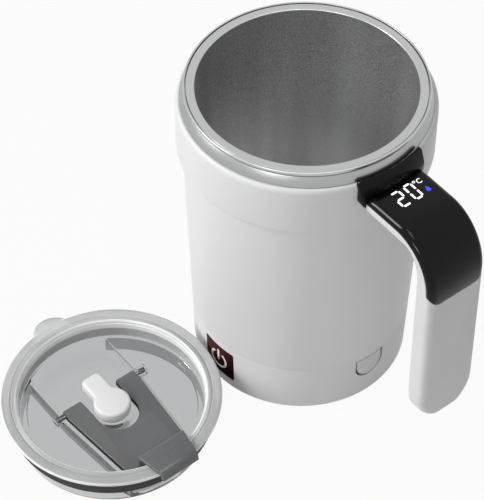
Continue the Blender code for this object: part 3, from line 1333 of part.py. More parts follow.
def lid():
    """All the lid's pieces, moved together to where the lid stands."""
    before = set(bpy.data.objects)
    lid_body()
    lid_gasket()
    lever_pins()
    centre_stopper()
    turning = [flip_lever(), sip_pad()]
    made = set(bpy.data.objects) - before
    stand = bpy.data.objects.new("lid_stand", None)
    parts.objects.link(stand)
    stand.location = lid_middle
    for piece in made:
        piece.parent = stand
    carry("lever_pivot", (PIVOT_REACH, 0, pivot_height), turning, stand)


def main():
    """Builds the whole mug and its lid."""
    outer_shell()
    upper_collar()
    neck_band()
    rim_seal()
    rim_ring()
    inner_cup()
    base_ring()
    base_cover()
    foot_pad()
    power_button()
    power_switch()
    port_flap()
    usb_socket()
    main_board()
    battery()
    motor()
    motor_deck()
    drive()
    stirrer()
    temperature_sensor()
    screws()
    leads()
    handle_bracket()
    handle()
    lid()


main()
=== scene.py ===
"""Self-stirring mug: the looks of the mug and its flip lid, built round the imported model.

The origin is the middle of the mug's foot, the handle points along +X and the power
button faces -Y. Lengths are metres.
"""

import json
import math

import bmesh
import bpy
from bpy.props import FloatProperty, FloatVectorProperty, PointerProperty
from bpy.types import Operator, Panel, PropertyGroup
from mathutils import Matrix, Vector


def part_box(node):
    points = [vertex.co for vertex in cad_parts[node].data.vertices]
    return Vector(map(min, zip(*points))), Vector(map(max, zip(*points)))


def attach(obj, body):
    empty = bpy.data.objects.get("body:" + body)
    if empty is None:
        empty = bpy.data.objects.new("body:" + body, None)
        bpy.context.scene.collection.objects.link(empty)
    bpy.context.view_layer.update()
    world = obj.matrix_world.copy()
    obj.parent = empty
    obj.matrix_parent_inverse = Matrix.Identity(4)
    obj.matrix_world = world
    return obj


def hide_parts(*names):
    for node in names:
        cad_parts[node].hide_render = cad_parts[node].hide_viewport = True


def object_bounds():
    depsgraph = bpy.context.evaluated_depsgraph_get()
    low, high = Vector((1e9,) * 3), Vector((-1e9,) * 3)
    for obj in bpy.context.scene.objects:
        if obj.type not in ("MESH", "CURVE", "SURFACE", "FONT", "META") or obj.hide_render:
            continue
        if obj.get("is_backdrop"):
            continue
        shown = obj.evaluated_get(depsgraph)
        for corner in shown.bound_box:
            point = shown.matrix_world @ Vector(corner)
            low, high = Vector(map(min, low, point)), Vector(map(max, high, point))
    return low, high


bl_info = {
    "name": "Self-Stirring Mug",
    "version": (1, 0, 0),
    "blender": (4, 5, 0),
    "location": "3D View > Sidebar > Mug",
    "description": "Builds a self-stirring mug and its flip lid piece by piece",
    "category": "Add Mesh",
}

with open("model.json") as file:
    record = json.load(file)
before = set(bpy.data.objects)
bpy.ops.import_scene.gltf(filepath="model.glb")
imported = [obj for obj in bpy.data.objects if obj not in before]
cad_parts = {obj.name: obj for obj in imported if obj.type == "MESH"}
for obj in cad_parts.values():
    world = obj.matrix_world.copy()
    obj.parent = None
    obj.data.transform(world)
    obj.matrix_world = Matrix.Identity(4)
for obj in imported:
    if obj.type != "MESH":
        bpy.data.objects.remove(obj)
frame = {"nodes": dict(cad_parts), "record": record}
cad_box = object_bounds()

# Drawing counts and small distances
ROUND = 160                      # facets round the mug and the lid
SMALL_ROUND = 48                 # facets round pins, holes and bosses
FILLET = 5                       # facets round a softened corner
MM = 0.001
HAIR = 0.00003                   # thickness of print, and how far it stands proud
FIT = 0.0003                     # gap between pieces that touch
OVERRUN = 0.004                  # how far a cutter runs past what it cuts
WELD = 0.0000005
EDGE = 0.0003                    # usual rounding of an edge
FINE_EDGE = 0.0002
CRISP_EDGE = 0.0001
SOFT_EDGE = 0.0006
SHEET_EDGE = 0.0004              # rounding of the lever's and the bracket's edges
LEAST = 0.0001                   # next to the axis, or slack when a face's height is tested
SHARP = math.radians(50)         # edges sharper than this are rounded
CREASE = math.radians(32)        # edges sharper than this show as edges


def low(node):
    """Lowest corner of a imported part."""
    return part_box(node)[0]


def high(node):
    """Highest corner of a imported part."""
    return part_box(node)[1]


# Properties

def length(name, description, default):
    """A size that a user may change, in metres."""
    return FloatProperty(name=name, description=description, default=default, min=0.0,
                         precision=5, unit="LENGTH")


def share(name, description, default):
    """A number from 0 to 1 that a user may change."""
    return FloatProperty(name=name, description=description, default=default, min=0.0,
                         max=1.0, subtype="FACTOR")


def colour(name, description, default):
    """A colour that a user may change, as light values from 0 to 1."""
    return FloatVectorProperty(name=name, description=description, default=default, size=3,
                               min=0.0, max=1.0, subtype="COLOR")


class MugBody(PropertyGroup):
    """Sizes of the mug's body, mouth and cup."""

    height: length("Height", "From the table to the top of the rim ring",
                   high("rim_ring").z)
    collar: length("Collar radius", "Outside radius of the wide white collar",
                   high("upper_collar").x)
    collar_foot: length("Collar foot", "Height of the collar's lower edge",
                        low("upper_collar").z)
    neck_foot: length("Neck foot", "Height of the steel neck band's lower edge",
                      low("neck_band").z)
    neck_top: length("Neck top", "Height of the steel neck band's upper edge",
                     high("neck_band").z)
    seam: length("Seam height", "Height of the seam above the base ring",
                 low("outer_shell").z - FIT)
    shoulder: length("Shoulder height", "Height of the collar's rounded shoulder", 0.0024)
    ledge: length("Shoulder depth", "How far the shoulder turns in", 0.0011)
    collar_step: length("Collar step", "From the collar in to the body below it", 0.0021)
    taper: length("Body taper", "How much the body narrows down to its foot", 0.0029)
    wall: length("Wall", "Thickness of the white wall", 0.0018)
    seam_edge: length("Seam edge", "Rounding along the seam", 0.00010)
    mouth: length("Mouth radius", "Inside radius of the cup at its lip", 0.0390)
    lip: length("Lip radius", "Outside radius of the cup's flat lip", 0.0422)
    rim: length("Rim radius", "Outside radius of the rim ring", high("rim_ring").x)
    rim_edge: length("Rim edge", "Rounding along the rim ring's top", 0.0006)
    cup_floor: length("Cup floor", "Height of the cup's floor", low("inner_cup").z + 0.0008)
    cup_wall: length("Cup wall", "Thickness of the steel cup", 0.0008)
    cup_corner: length("Cup corner", "Rounding between the cup's floor and wall", 0.0060)
    base_edge: length("Base edge", "Rounding along the base ring's lower edge", 0.0007)


class MugControls(PropertyGroup):
    """Sizes of the power button, its sign and the port flap."""

    button: length("Button size", "Width and height of the power button", 0.0149)
    button_aside: length("Button aside", "How far the button sits towards the handle", 0.0020)
    button_drop: length("Button drop", "From the seam down to the button's top", 0.0024)
    button_edge: length("Button edge", "Rounding along the button's edges", 0.00030)
    sign_radius: length("Sign radius", "Radius of the power sign's ring", 0.0039)
    sign_line: length("Sign line", "Width of the power sign's lines", 0.00110)
    flap_edge: length("Flap edge", "Rounding along the port flap's edge", 0.00035)
    flap_width: length("Flap width", "Width of the port flap", 0.0113)
    flap_height: length("Flap height", "Height of the port flap", 0.0095)
    flap_gap: length("Flap gap", "Groove round the port flap", 0.0009)
    digit_line: length("Digit line", "Width of a digit's segments", 0.00078)
    digit_gap: length("Digit gap", "Gap between a digit's segments", 0.00032)


class MugHandle(PropertyGroup):
    """Sizes of the handle, its bracket and its glossy cover."""

    width: length("Width", "Width of the arm and the grip", 0.0246)
    bracket: length("Bracket", "Width of the bracket on the collar", 0.0280)
    top: length("Top", "Height of the arm's top", high("handle_cover").z)
    foot: length("Foot", "Height of the grip's lower end", low("handle_grip").z)
    reach: length("Reach", "From the mug's axis to the grip's outer face", 0.0816)
    lean: length("Lean", "How far the grip leans out on its way down", 0.0009)
    arm: length("Arm", "Thickness of the arm", 0.0069)
    grip: length("Grip", "Thickness of the grip", 0.0085)
    edge: length("Edge", "Rounding along the outer edges", 0.0042)
    cover: length("Cover", "Thickness of the glossy cover", 0.0025)
    cover_length: length("Cover length", "From the arm's top to the cover's lower edge",
                         0.0250)
    cover_corner: length("Cover corner", "Rounding of the cover's lower corners", 0.0055)


class MugLid(PropertyGroup):
    """Sizes of the lid, its lever and its stopper, from the lid's own middle."""

    radius: length("Radius", "Outside radius of the flange", 0.0412)
    height: length("Height", "From the table to the flange's top", high("lid_body").z)
    flange: length("Flange", "Thickness of the flange", 0.0027)
    edge: length("Edge", "Rounding along the flange", 0.0007)
    mouth: length("Mouth radius", "Radius of the recess at the flange", 0.0354)
    well: length("Well radius", "Radius of the recess at the decks", 0.0345)
    skirt: length("Skirt radius", "Outside radius of the skirt", 0.0376)
    gasket: length("Gasket groove", "Height of the gasket's groove in the skirt", 0.0074)
    hook_length: length("Hook length", "How far the hook hangs below the lid's top", 0.0013)
    deck: length("Deck height", "Height of the decks beside the channel", 0.0083)
    channel: length("Channel half width", "Half the width of the lever's channel", 0.0170)
    lever_top: length("Lever top", "Height of the lever's top", 0.0088)
    lever: length("Lever thickness", "Thickness of the lever's plate", 0.0026)
    hook: length("Front half width", "Half the width of the lever's front end", 0.0116)
    stopper: length("Stopper radius", "Radius of the stopper's head", 0.0070)
    stopper_edge: length("Stopper edge", "Rounding along the stopper's head", 0.0012)


class MugColours(PropertyGroup):
    """Colours of the mug's finishes."""

    white: colour("White", "The mug's moulded white", (0.74, 0.74, 0.745))
    grip: colour("Grip", "The handle's moulded white", (0.70, 0.70, 0.705))
    gloss: colour("Gloss", "The handle's black cover", (0.002, 0.002, 0.0023))
    button: colour("Button", "The button's dark glass", (0.022, 0.007, 0.0075))
    sign: colour("Sign", "The power sign", (0.95, 0.86, 0.86))
    lever: colour("Lever", "The flip lever", (0.120, 0.122, 0.125))
    silicone: colour("Silicone", "The stopper and the pad", (0.80, 0.80, 0.80))
    steel: colour("Steel", "The brushed rim", (0.49, 0.495, 0.495))
    # Painted shade: the neck band is the rim's steel, given a darker colour than the rim.
    neck: colour("Neck steel", "The brushed cone under the rim", (0.38, 0.385, 0.385))
    blasted: colour("Blasted steel", "The inside of the cup", (0.90, 0.905, 0.90))
    clear: colour("Clear", "The lid's clear plastic", (0.50, 0.505, 0.51))
    frost: colour("Frost", "The lid's frosted flange", (0.68, 0.685, 0.69))
    drop: colour("Drop", "The sign for a cool drink", (0.03, 0.05, 0.80))
    light: share("Display light", "How strongly the display glows", 0.9)


class MugStudio(PropertyGroup):
    """Light and floor."""

    key: FloatProperty(name="Key lamp", description="Power of the main lamp",
                       default=29.0, min=0.0)
    fill: FloatProperty(name="Fill lamp", description="Power of the front lamp",
                        default=10.5, min=0.0)
    over: FloatProperty(name="Overhead lamp", description="Power of the lamp above",
                        default=3.6, min=0.0)
    air: share("Air light", "Plain light from all round", 0.25)
    shadow: share("Shadow", "How much of the object's shadow the floor shows", 0.06)
    floor: colour("Floor", "The floor's colour", (0.58, 0.58, 0.58))


# Shader tools

class Value:
    """A socket that takes part in Python sums; each sum adds its own node."""

    def __init__(self, nodes, socket):
        self.nodes = nodes
        self.socket = socket

    def sum(self, operation, *others):
        """The result of a Math node on this value and the others."""
        node = self.nodes.node("ShaderNodeMath", {"operation": operation},
                               dict(enumerate(others)))
        return Value(self.nodes, node.outputs[0])

    def __add__(self, other):
        return self.sum("ADD", self, other)

    def __radd__(self, other):
        return self.sum("ADD", other, self)

    def __sub__(self, other):
        return self.sum("SUBTRACT", self, other)

    def __rsub__(self, other):
        return self.sum("SUBTRACT", other, self)

    def __mul__(self, other):
        return self.sum("MULTIPLY", self, other)

    def __rmul__(self, other):
        return self.sum("MULTIPLY", other, self)

    def larger(self, other):
        """The larger of two values."""
        return self.sum("MAXIMUM", self, other)

    def root(self):
        """The square root."""
        return self.sum("SQRT", self)

    def ramp(self, start, end):
        """0 at start, 1 at end and a smooth rise between."""
        node = self.nodes.node("ShaderNodeMapRange", {"interpolation_type": "SMOOTHSTEP"},
                               {"Value": self, "From Min": start, "From Max": end})
        return Value(self.nodes, node.outputs[0])


class Nodes:
    """The nodes of a material or of the world."""

    def __init__(self, tree):
        self.tree = tree

    def node(self, kind, settings=None, sockets=None):
        """A node of a type, with its settings and the values or links of its sockets."""
        node = self.tree.nodes.new(kind)
        for name, value in (settings or {}).items():
            setattr(node, name, value)
        for socket, value in (sockets or {}).items():
            if isinstance(value, Value):
                self.tree.links.new(value.socket, node.inputs[socket])
            else:
                node.inputs[socket].default_value = value
        return node

    def value(self, node, output=0):
        """A node's output as a value."""
        return Value(self, node.outputs[output])

    def place(self, shift=(0.0, 0.0, 0.0)):
        """Where a point lies on the object, in metres, after a shift."""
        spot = self.value(self.node("ShaderNodeTexCoord"), "Object")
        if not any(shift):
            return spot
        return self.value(self.node("ShaderNodeVectorMath", {"operation": "ADD"},
                                    {0: spot, 1: shift}))

    def axes(self, place):
        """The three numbers of a place."""
        parts = self.node("ShaderNodeSeparateXYZ", None, {0: place})
        return [self.value(parts, i) for i in range(3)]

    def vector(self, x, y, z):
        """A vector from three numbers or values."""
        return self.value(self.node("ShaderNodeCombineXYZ", None, {0: x, 1: y, 2: z}))

    def noise(self, place, scale, detail=2.0, rough=0.5):
        """Soft random noise from 0 to 1; scale is in lumps to the metre."""
        return self.value(self.node("ShaderNodeTexNoise", None,
                                    {"Vector": place, "Scale": scale, "Detail": detail,
                                     "Roughness": rough}), "Fac")

    def cells(self, place, scale, feature="F1"):
        """Distance to the nearest of many scattered points."""
        return self.value(self.node("ShaderNodeTexVoronoi", {"feature": feature},
                                    {"Vector": place, "Scale": scale}), "Distance")

    def blend(self, factor, first, second):
        """A colour between two, by a factor from 0 to 1."""
        node = self.node("ShaderNodeMix", {"data_type": "RGBA"}, {"Factor": factor})
        for socket, value in ((6, first), (7, second)):
            if isinstance(value, Value):
                self.tree.links.new(value.socket, node.inputs[socket])
            else:
                node.inputs[socket].default_value = (*value[:3], 1.0)
        return self.value(node, 2)

    def seen(self):
        """1 for what the camera, gloss and clear plastic see, and 0 for plain light."""
        path = self.node("ShaderNodeLightPath")
        camera, gloss, through = [self.value(path, name) for name in (
            "Is Camera Ray", "Is Glossy Ray", "Is Transmission Ray")]
        return camera.larger(gloss).larger(through)

    def output(self, kind, shader):
        """Links a shader to the material's or the world's output."""
        self.tree.links.new(shader.socket, self.tree.nodes[kind].inputs["Surface"])


class Finish(Nodes):
    """A material with its Principled shader and the nodes that feed it."""

    def __init__(self, name, base, roughness, **fixed):
        self.made = bpy.data.materials.new(name)
        self.made.use_nodes = True
        self.made.diffuse_color = (*base, 1.0)
        super().__init__(self.made.node_tree)
        self.shader = self.tree.nodes["Principled BSDF"]
        self.base = (*base, 1.0)
        self.shader.inputs["Base Color"].default_value = self.base
        self.shader.inputs["Roughness"].default_value = roughness
        for socket, value in fixed.items():
            self.shader.inputs[socket.replace("_", " ")].default_value = value

    def feed(self, socket, value):
        """Links a value to the shader."""
        self.tree.links.new(value.socket, self.shader.inputs[socket])

    def bump(self, height, distance, strength):
        """Gives the surface a relief; distance is its depth in metres."""
        node = self.node("ShaderNodeBump", None, {"Height": height, "Strength": strength,
                                                  "Distance": distance})
        self.feed("Normal", self.value(node))

    def texture(self, grain, rough, relief=None):
        """Feeds one grain to the roughness, as (least, spread), and to the relief."""
        self.feed("Roughness", rough[0] + rough[1] * grain)
        if relief:
            self.bump(grain, *relief)
        return self

    def shade(self, mottle, depth):
        """Varies the base colour by a value from 0 to 1, depth either way."""
        dark = tuple(c * (1 - depth) for c in self.base[:3])
        pale = tuple(min(1.0, c * (1 + depth)) for c in self.base[:3])
        self.feed("Base Color", self.blend(mottle, dark, pale))

    def around(self, middle=(0.0, 0.0)):
        """Radius, angle and height of a point about an upright axis."""
        x, y, z = self.axes(self.place((-middle[0], -middle[1], 0.0)))
        return (x * x + y * y).root(), x.sum("ARCTAN2", y, x), z


# Finishes

made_finishes = {}


def finish(name):
    """The material of that name, made the first time it is asked for."""
    if name not in made_finishes:
        made_finishes[name] = FINISHES[name](bpy.context.scene.mug_colours).made
    return made_finishes[name]


def moulded(name, base, roughness, grain=1.0, **fixed):
    """Moulded plastic: a fine even texture, slight mottling and a few soft scuffs."""
    made = Finish(name, base, roughness, **fixed)
    place = made.place()
    fine = made.noise(place, 2600.0, 2.0, 0.6)
    scuffs = made.noise(place, 420.0, 4.0, 0.7).ramp(0.62, 0.80)
    made.shade(0.35 * fine + 0.65 * made.noise(place, 26.0, 3.0), 0.025)
    made.feed("Roughness", roughness + 0.05 * (fine - 0.5) + 0.05 * scuffs)
    made.bump(fine, 0.00004 * grain, 0.30)
    return made


def lever_plastic(colours):
    """The lever's grey plastic with a fine spark texture."""
    made = Finish("grey_lever_plastic", colours.lever, 0.26)
    place = made.place()
    fine = made.noise(place, 3200.0, 2.0, 0.6)
    made.shade(0.5 * fine + 0.5 * made.noise(place, 60.0, 3.0), 0.08)
    return made.texture(fine, (0.23, 0.08), (0.00005, 0.35))


def lever_side(colours):
    """Painted shade on the lever's upright sides: near black, for the shadow in the gap round the
    lever.
    """
    made = Finish("dark_lever_side", (0.012, 0.012, 0.012), 0.60)
    fine = made.noise(made.place(), 3200.0, 2.0, 0.6)
    made.shade(fine, 0.30)
    return made.texture(fine, (0.52, 0.16))


def white_silicone(colours):
    """Soft white silicone."""
    made = moulded("white_silicone", colours.silicone, 0.46, 1.2, Subsurface_Weight=0.05)
    made.shader.inputs["Subsurface Radius"].default_value = (0.002, 0.002, 0.002)
    return made


def black_gloss(colours):
    """The handle cover's piano black, with hairline polish marks."""
    made = Finish("piano_black_cover", colours.gloss, 0.11, IOR=1.26)
    place = made.place()
    x, y, z = made.axes(place)
    marks = made.noise(made.vector(x * 40.0, y * 900.0, z * 40.0), 1.0, 3.0, 0.7)
    dust = made.cells(place, 900.0).ramp(0.10, 0.04)
    made.feed("Roughness", 0.10 + 0.05 * marks.ramp(0.55, 0.75) + 0.06 * dust)
    made.shade(made.noise(place, 90.0), 0.2)
    made.bump(made.noise(place, 120.0, 2.0), 0.00002, 0.15)
    return made


def button_glass(colours):
    """The button's dark red glass, with painted light: its colour is lighter towards its upper
    left corner.
    """
    made = Finish("dark_button_glass", colours.button, 0.30, IOR=1.02)
    place = made.place()
    x, _, z = made.axes(place)
    # Painted light: the base colour turns lighter towards the button's upper left corner.
    glow_and_painted_light = (z - x).ramp(0.006, 0.022) * (0.6 + 0.4 * made.noise(place, 160.0, 3.0))
    made.feed("Base Color", made.blend(glow_and_painted_light, colours.button, (0.115, 0.034, 0.034)))
    made.feed("Roughness", 0.28 + 0.08 * made.noise(place, 900.0, 3.0, 0.7))
    return made


def brushed(name, base):
    """Steel turned and brushed round the mug's axis."""
    made = Finish(name, base, 0.30, Metallic=1.0)
    radius, angle, z = made.around()
    lines = made.noise(made.vector(radius * 9000.0, angle * 6.0, z * 9000.0), 1.0, 4.0, 0.65)
    arcs = made.noise(made.vector(radius * 900.0, angle * 3.0, z * 900.0), 1.0, 3.0)
    made.shade(0.6 * lines + 0.4 * arcs, 0.09)
    return made.texture(lines, (0.24, 0.16), (0.00001, 0.5))


def blasted_steel(colours):
    """The cup's sand-blasted inside, coarser towards the mouth, with painted light and shade: its
    colour darkens towards the mouth and lightens towards the floor.
    """
    made = Finish("blasted_cup_steel", colours.blasted, 0.50, Metallic=0.80)
    place = made.place()
    radius, angle, z = made.around()
    sand = made.noise(place, 2100.0, 2.0, 0.7)
    pits = made.cells(place, 1500.0).ramp(0.55, 0.15)
    streaks = made.noise(made.vector(angle * 2.6, z * 5.0, radius * 4.0), 1.0, 1.0)
    coarse = 0.15 + 0.80 * z.ramp(0.060, 0.130)
    grain = 0.5 + coarse * (sand.ramp(0.38, 0.62) - 0.5)
    mottle = (0.62 * grain + 0.18 * made.noise(place, 34.0, 3.0, 0.55)
              + 0.20 * streaks.ramp(0.3, 0.7))
    dark = tuple(c * 0.19 for c in colours.blasted)
    tinted = made.blend(0.5 * streaks.ramp(0.55, 0.75), colours.blasted, (0.72, 0.86, 0.84))
    # Painted light and shade: the blend's factor falls towards the mouth and rises towards the
    # floor.
    made.feed("Base Color", made.blend(mottle * (0.26 + 1.30 * z.ramp(0.140, 0.030)), dark,
                                       tinted))
    made.feed("Roughness", 0.44 + 0.16 * sand + 0.06 * pits)
    made.bump(0.7 * sand + 0.3 * pits, 0.00010, 0.55)
    return made


def plain_steel(colours):
    """Bright drawn steel of screws, pins and cans."""
    made = Finish("drawn_steel", (0.52, 0.52, 0.53), 0.30, Metallic=1.0)
    x, y, z = made.axes(made.place())
    lines = made.noise(made.vector(x * 500.0, y * 500.0, z * 5000.0), 1.0, 3.0, 0.6)
    made.shade(lines, 0.12)
    return made.texture(lines, (0.24, 0.14), (0.00001, 0.3))


def dark_rubber(colours):
    """Moulded dark rubber with a bloom in its colour."""
    made = Finish("dark_rubber", (0.018, 0.018, 0.019), 0.55)
    place = made.place()
    made.shade(made.noise(place, 150.0, 3.0), 0.30)
    return made.texture(made.noise(place, 3000.0, 2.0, 0.7), (0.48, 0.18), (0.00004, 0.4))


def clear_plastic(colours):
    """The lid's clear plastic, with the faint waves of moulding."""
    made = Finish("clear_lid_plastic", colours.clear, 0.03, Transmission_Weight=1.0, IOR=1.25)
    place = made.place()
    made.feed("Roughness", 0.02 + 0.03 * made.noise(place, 600.0, 3.0, 0.6))
    made.bump(made.noise(place, 70.0, 2.0), 0.00012, 0.25)
    return made


def frosted(name, base, clear, roughness):
    """The flange's frosted plastic, with soft streaks round it."""
    made = Finish(name, base, roughness, Transmission_Weight=clear, IOR=1.30)
    radius, angle, z = made.around(lid_middle())
    streaks = made.noise(made.vector(angle * 2.0, radius * 260.0, z * 120.0), 1.0, 2.0)
    made.shade(streaks.ramp(0.3, 0.7), 0.05)
    made.feed("Roughness", roughness + 0.05 * streaks)
    made.bump(made.noise(made.place(), 300.0, 1.0), 0.00002, 0.10)
    return made


def circuit_green(colours):
    """A green board with copper tracks under the mask."""
    made = Finish("green_circuit_board", (0.015, 0.10, 0.045), 0.40)
    place = made.place()
    line = made.cells(place, 420.0, "DISTANCE_TO_EDGE").ramp(0.10, 0.04)
    made.feed("Base Color", made.blend(line, (0.010, 0.075, 0.035), (0.035, 0.19, 0.08)))
    made.feed("Roughness", 0.34 + 0.10 * made.noise(place, 1500.0))
    made.bump(line, 0.00003, 0.5)
    return made


def battery_foil(colours):
    """The cell's silvery foil, lightly creased."""
    made = Finish("creased_cell_foil", (0.50, 0.51, 0.53), 0.34, Metallic=0.8)
    crease = made.noise(made.place(), 220.0, 4.0, 0.6)
    made.shade(crease, 0.10)
    return made.texture(crease, (0.28, 0.14), (0.0002, 0.35))


def foam_grey(colours):
    """Open grey foam."""
    made = Finish("open_grey_foam", (0.13, 0.13, 0.13), 0.9)
    pores = made.cells(made.place(), 2200.0)
    made.shade(pores.ramp(0.1, 0.6), 0.45)
    made.bump(pores, 0.0003, 0.8)
    return made


def sign_print(colours):
    """The pale print of the power sign."""
    made = Finish("pale_sign_print", colours.sign, 0.45)
    made.shade(made.noise(made.place(), 2400.0, 2.0, 0.6), 0.06)
    return made


def glowing(name, base, strength):
    """A lit sign: its colour glows, a little unevenly, through the black cover."""
    made = Finish(name, base, 0.30, Emission_Strength=strength)
    even = 0.92 + 0.08 * made.noise(made.place(), 900.0, 2.0)
    glow_and_painted_light = made.blend(even, tuple(0.5 * c for c in base), base)
    made.feed("Emission Color", glow_and_painted_light)
    made.feed("Base Color", glow_and_painted_light)
    return made


FINISHES = {
    "white_plastic": lambda c: moulded("satin_white_plastic", c.white, 0.42),
    "flap_plastic": lambda c: moulded("soft_flap_plastic", [0.97 * v for v in c.white], 0.55,
                                      1.4),
    "grip_plastic": lambda c: moulded("satin_grip_plastic", c.grip, 0.40),
    "black_plastic": lambda c: moulded("black_plastic", (0.004, 0.004, 0.0045), 0.20, 0.6,
                                       IOR=1.22),
    "lead_red": lambda c: moulded("red_lead_sleeve", (0.42, 0.012, 0.012), 0.42),
    "brushed_steel": lambda c: brushed("brushed_rim_steel", c.steel),
    # Painted shade: the neck's steel is the rim's steel, made darker.
    "neck_steel": lambda c: brushed("brushed_neck_steel", c.neck),
    "frosted_flange": lambda c: frosted("frosted_lid_flange", c.frost, 0.40, 0.26),
    # Painted highlight: a near-white, almost opaque band at the top of the recess wall and round
    # the flange's edge.
    "bright_flange": lambda c: frosted("bright_lid_bead", (0.97, 0.97, 0.97), 0.10, 0.22),
    "display_white": lambda c: glowing("display_white", (0.95, 0.97, 1.0), c.light),
    "display_blue": lambda c: glowing("display_blue", c.drop, c.light),
    **{made.__name__: made for made in (
        lever_plastic, lever_side, white_silicone, black_gloss, button_glass, blasted_steel,
        plain_steel, dark_rubber, clear_plastic, circuit_green, battery_foil, foam_grey,
        sign_print)},
}


# Mesh tools

def mesh_of(points, faces):
    """A closed mesh from points and faces, with its normals outwards."""
    mesh = bpy.data.meshes.new("shape")
    mesh.from_pydata([tuple(p) for p in points], [], faces)
    return tidy(mesh)


def tidy(mesh):
    """Welds doubled points and turns all faces outwards."""
    shape = bmesh.new()
    shape.from_mesh(mesh)
    bmesh.ops.remove_doubles(shape, verts=shape.verts, dist=WELD)
    bmesh.ops.recalc_face_normals(shape, faces=shape.faces)
    shape.to_mesh(mesh)
    shape.free()
    return mesh


def merged(meshes):
    """One mesh that holds several, as they are."""
    shape = bmesh.new()
    for mesh in meshes:
        shape.from_mesh(mesh)
    whole = bpy.data.meshes.new("shape")
    shape.to_mesh(whole)
    shape.free()
    return whole


def arc(x, y, radius, start, end, steps=FILLET):
    """Points on an arc from one angle to another in degrees, both ends included."""
    turns = [math.radians(start + (end - start) * i / steps) for i in range(steps + 1)]
    return [(x + radius * math.cos(a), y + radius * math.sin(a)) for a in turns]


def pill(x, y, radius, steps):
    """Outline of a slot with round ends, y either side of its middle."""
    return arc(x, y, radius, 0, 180, steps) + arc(x, -y, radius, 180, 360, steps)


def fillet(corners, steps=FILLET):
    """A closed outline from (x, y) or (x, y, radius) corners, each corner rounded."""
    outline = []
    for i, corner in enumerate(corners):
        here = Vector(corner[:2])
        radius = corner[2] if len(corner) > 2 else 0.0
        before = Vector(corners[i - 1][:2]) - here
        after = Vector(corners[(i + 1) % len(corners)][:2]) - here
        if (radius <= 0 or min(before.length, after.length) < WELD
                or before.angle(after) / 2 > math.radians(89)):
            outline.append(tuple(here))
            continue
        half = before.angle(after) / 2
        back = min(radius / math.tan(half), before.length * 0.49, after.length * 0.49)
        start, end = here + before.normalized() * back, here + after.normalized() * back
        middle = here + (before.normalized() + after.normalized()).normalized() * (
            back / math.cos(half))
        sweep = (start - middle).angle_signed(end - middle)
        for k in range(steps + 1):
            turn = Matrix.Rotation(-sweep * k / steps, 2)
            outline.append(tuple(middle + turn @ (start - middle)))
    return outline


def rounded_box(width, height, corner):
    """Outline of a rectangle with round corners, centred on the origin."""
    x, y = width / 2, height / 2
    return fillet([(x, -y, corner), (x, y, corner), (-x, y, corner), (-x, -y, corner)])


def dense(outline, longest):
    """A closed outline with its long sides divided."""
    points = []
    for start, end in zip([outline[-1], *outline], outline):
        a, b = Vector(start), Vector(end)
        steps = max(1, int((b - a).length / longest))
        points += [tuple(a.lerp(b, (k + 1) / steps)) for k in range(steps)]
    return points


def inset(outline, distance):
    """A closed outline moved inwards, for outlines that bulge everywhere."""
    moved = []
    count = len(outline)
    area = sum(outline[i - 1][0] * outline[i][1] - outline[i][0] * outline[i - 1][1]
               for i in range(count))
    side = 1 if area > 0 else -1
    for i in range(count):
        here = Vector(outline[i])
        before = (here - Vector(outline[i - 1])).normalized()
        after = (Vector(outline[(i + 1) % count]) - here).normalized()
        across = Vector((-(before.y + after.y), before.x + after.x)).normalized() * side
        stretch = max(0.3, across.dot(Vector((-after.y, after.x)) * side))
        moved.append(tuple(here + across * distance / stretch))
    return moved


def turned(profile, steps=ROUND):
    """A closed (radius, height) profile turned about the upright axis."""
    points, rings, faces = [], [], []
    for radius, height in profile:
        ring = []
        for k in range(1 if radius < WELD else steps):
            turn = 2 * math.pi * k / steps
            ring.append(len(points))
            points.append((radius * math.cos(turn), radius * math.sin(turn), height))
        rings.append(ring)
    for first, second in zip(rings, rings[1:] + rings[:1]):
        if len(first) == 1 and len(second) == 1:
            continue
        for k in range(steps):
            n = (k + 1) % steps
            if len(first) == 1:
                faces.append((first[0], second[k], second[n]))
            elif len(second) == 1:
                faces.append((first[k], first[n], second[0]))
            else:
                faces.append((first[k], first[n], second[n], second[k]))
    return mesh_of(points, faces)


def skin(loops, count):
    """Faces between loops of points that follow one another."""
    return [(i * count + k, i * count + n, (i + 1) * count + n, (i + 1) * count + k)
            for i in range(loops - 1) for k, n in zip(range(count), [*range(1, count), 0])]


def lofted(sections):
    """A closed skin over loops that all have the same number of points."""
    count = len(sections[0])
    points = [point for section in sections for point in section]
    return mesh_of(points, [*skin(len(sections), count), tuple(range(count)),
                            tuple(range(len(points) - count, len(points)))])


def tile(outline, depth, edge, place, rings=6):
    """A cushion-edged tile; place turns (across, up, depth) into a point on the object."""
    layers = [[(u, v, -depth) for u, v in outline], [(u, v, -edge) for u, v in outline]]
    for k in range(1, FILLET + 1):
        turn = math.pi / 2 * k / FILLET
        layers.append([(u, v, -edge * (1 - math.sin(turn)))
                       for u, v in inset(outline, edge * (1 - math.cos(turn)))])
    face = inset(outline, edge)
    middle = Vector((sum(p[0] for p in face), sum(p[1] for p in face))) / len(face)
    for k in range(1, rings):
        size = 1 - k / rings
        layers.append([(middle.x + (u - middle.x) * size, middle.y + (v - middle.y) * size, 0)
                       for u, v in face])
    points = [place(*point) for layer in layers for point in layer]
    points.append(place(middle.x, middle.y, 0))
    count, top = len(outline), len(points) - 1
    fan = [(top - count + k, top - count + (k + 1) % count, top) for k in range(count)]
    return mesh_of(points, [*skin(len(layers), count), *fan, tuple(range(count))])


def held(mesh, name="work"):
    """An object that holds a mesh while it is cut and joined."""
    piece = bpy.data.objects.new(name, mesh)
    bpy.context.scene.collection.objects.link(piece)
    return piece


def released(piece):
    """A piece's mesh, without the object that held it."""
    mesh = piece.data
    bpy.data.objects.remove(piece, do_unlink=True)
    return mesh


def evaluated(piece):
    """The mesh that an object's modifiers or curves come to."""
    bpy.context.view_layer.update()
    seen = piece.evaluated_get(bpy.context.evaluated_depsgraph_get())
    return bpy.data.meshes.new_from_object(seen)


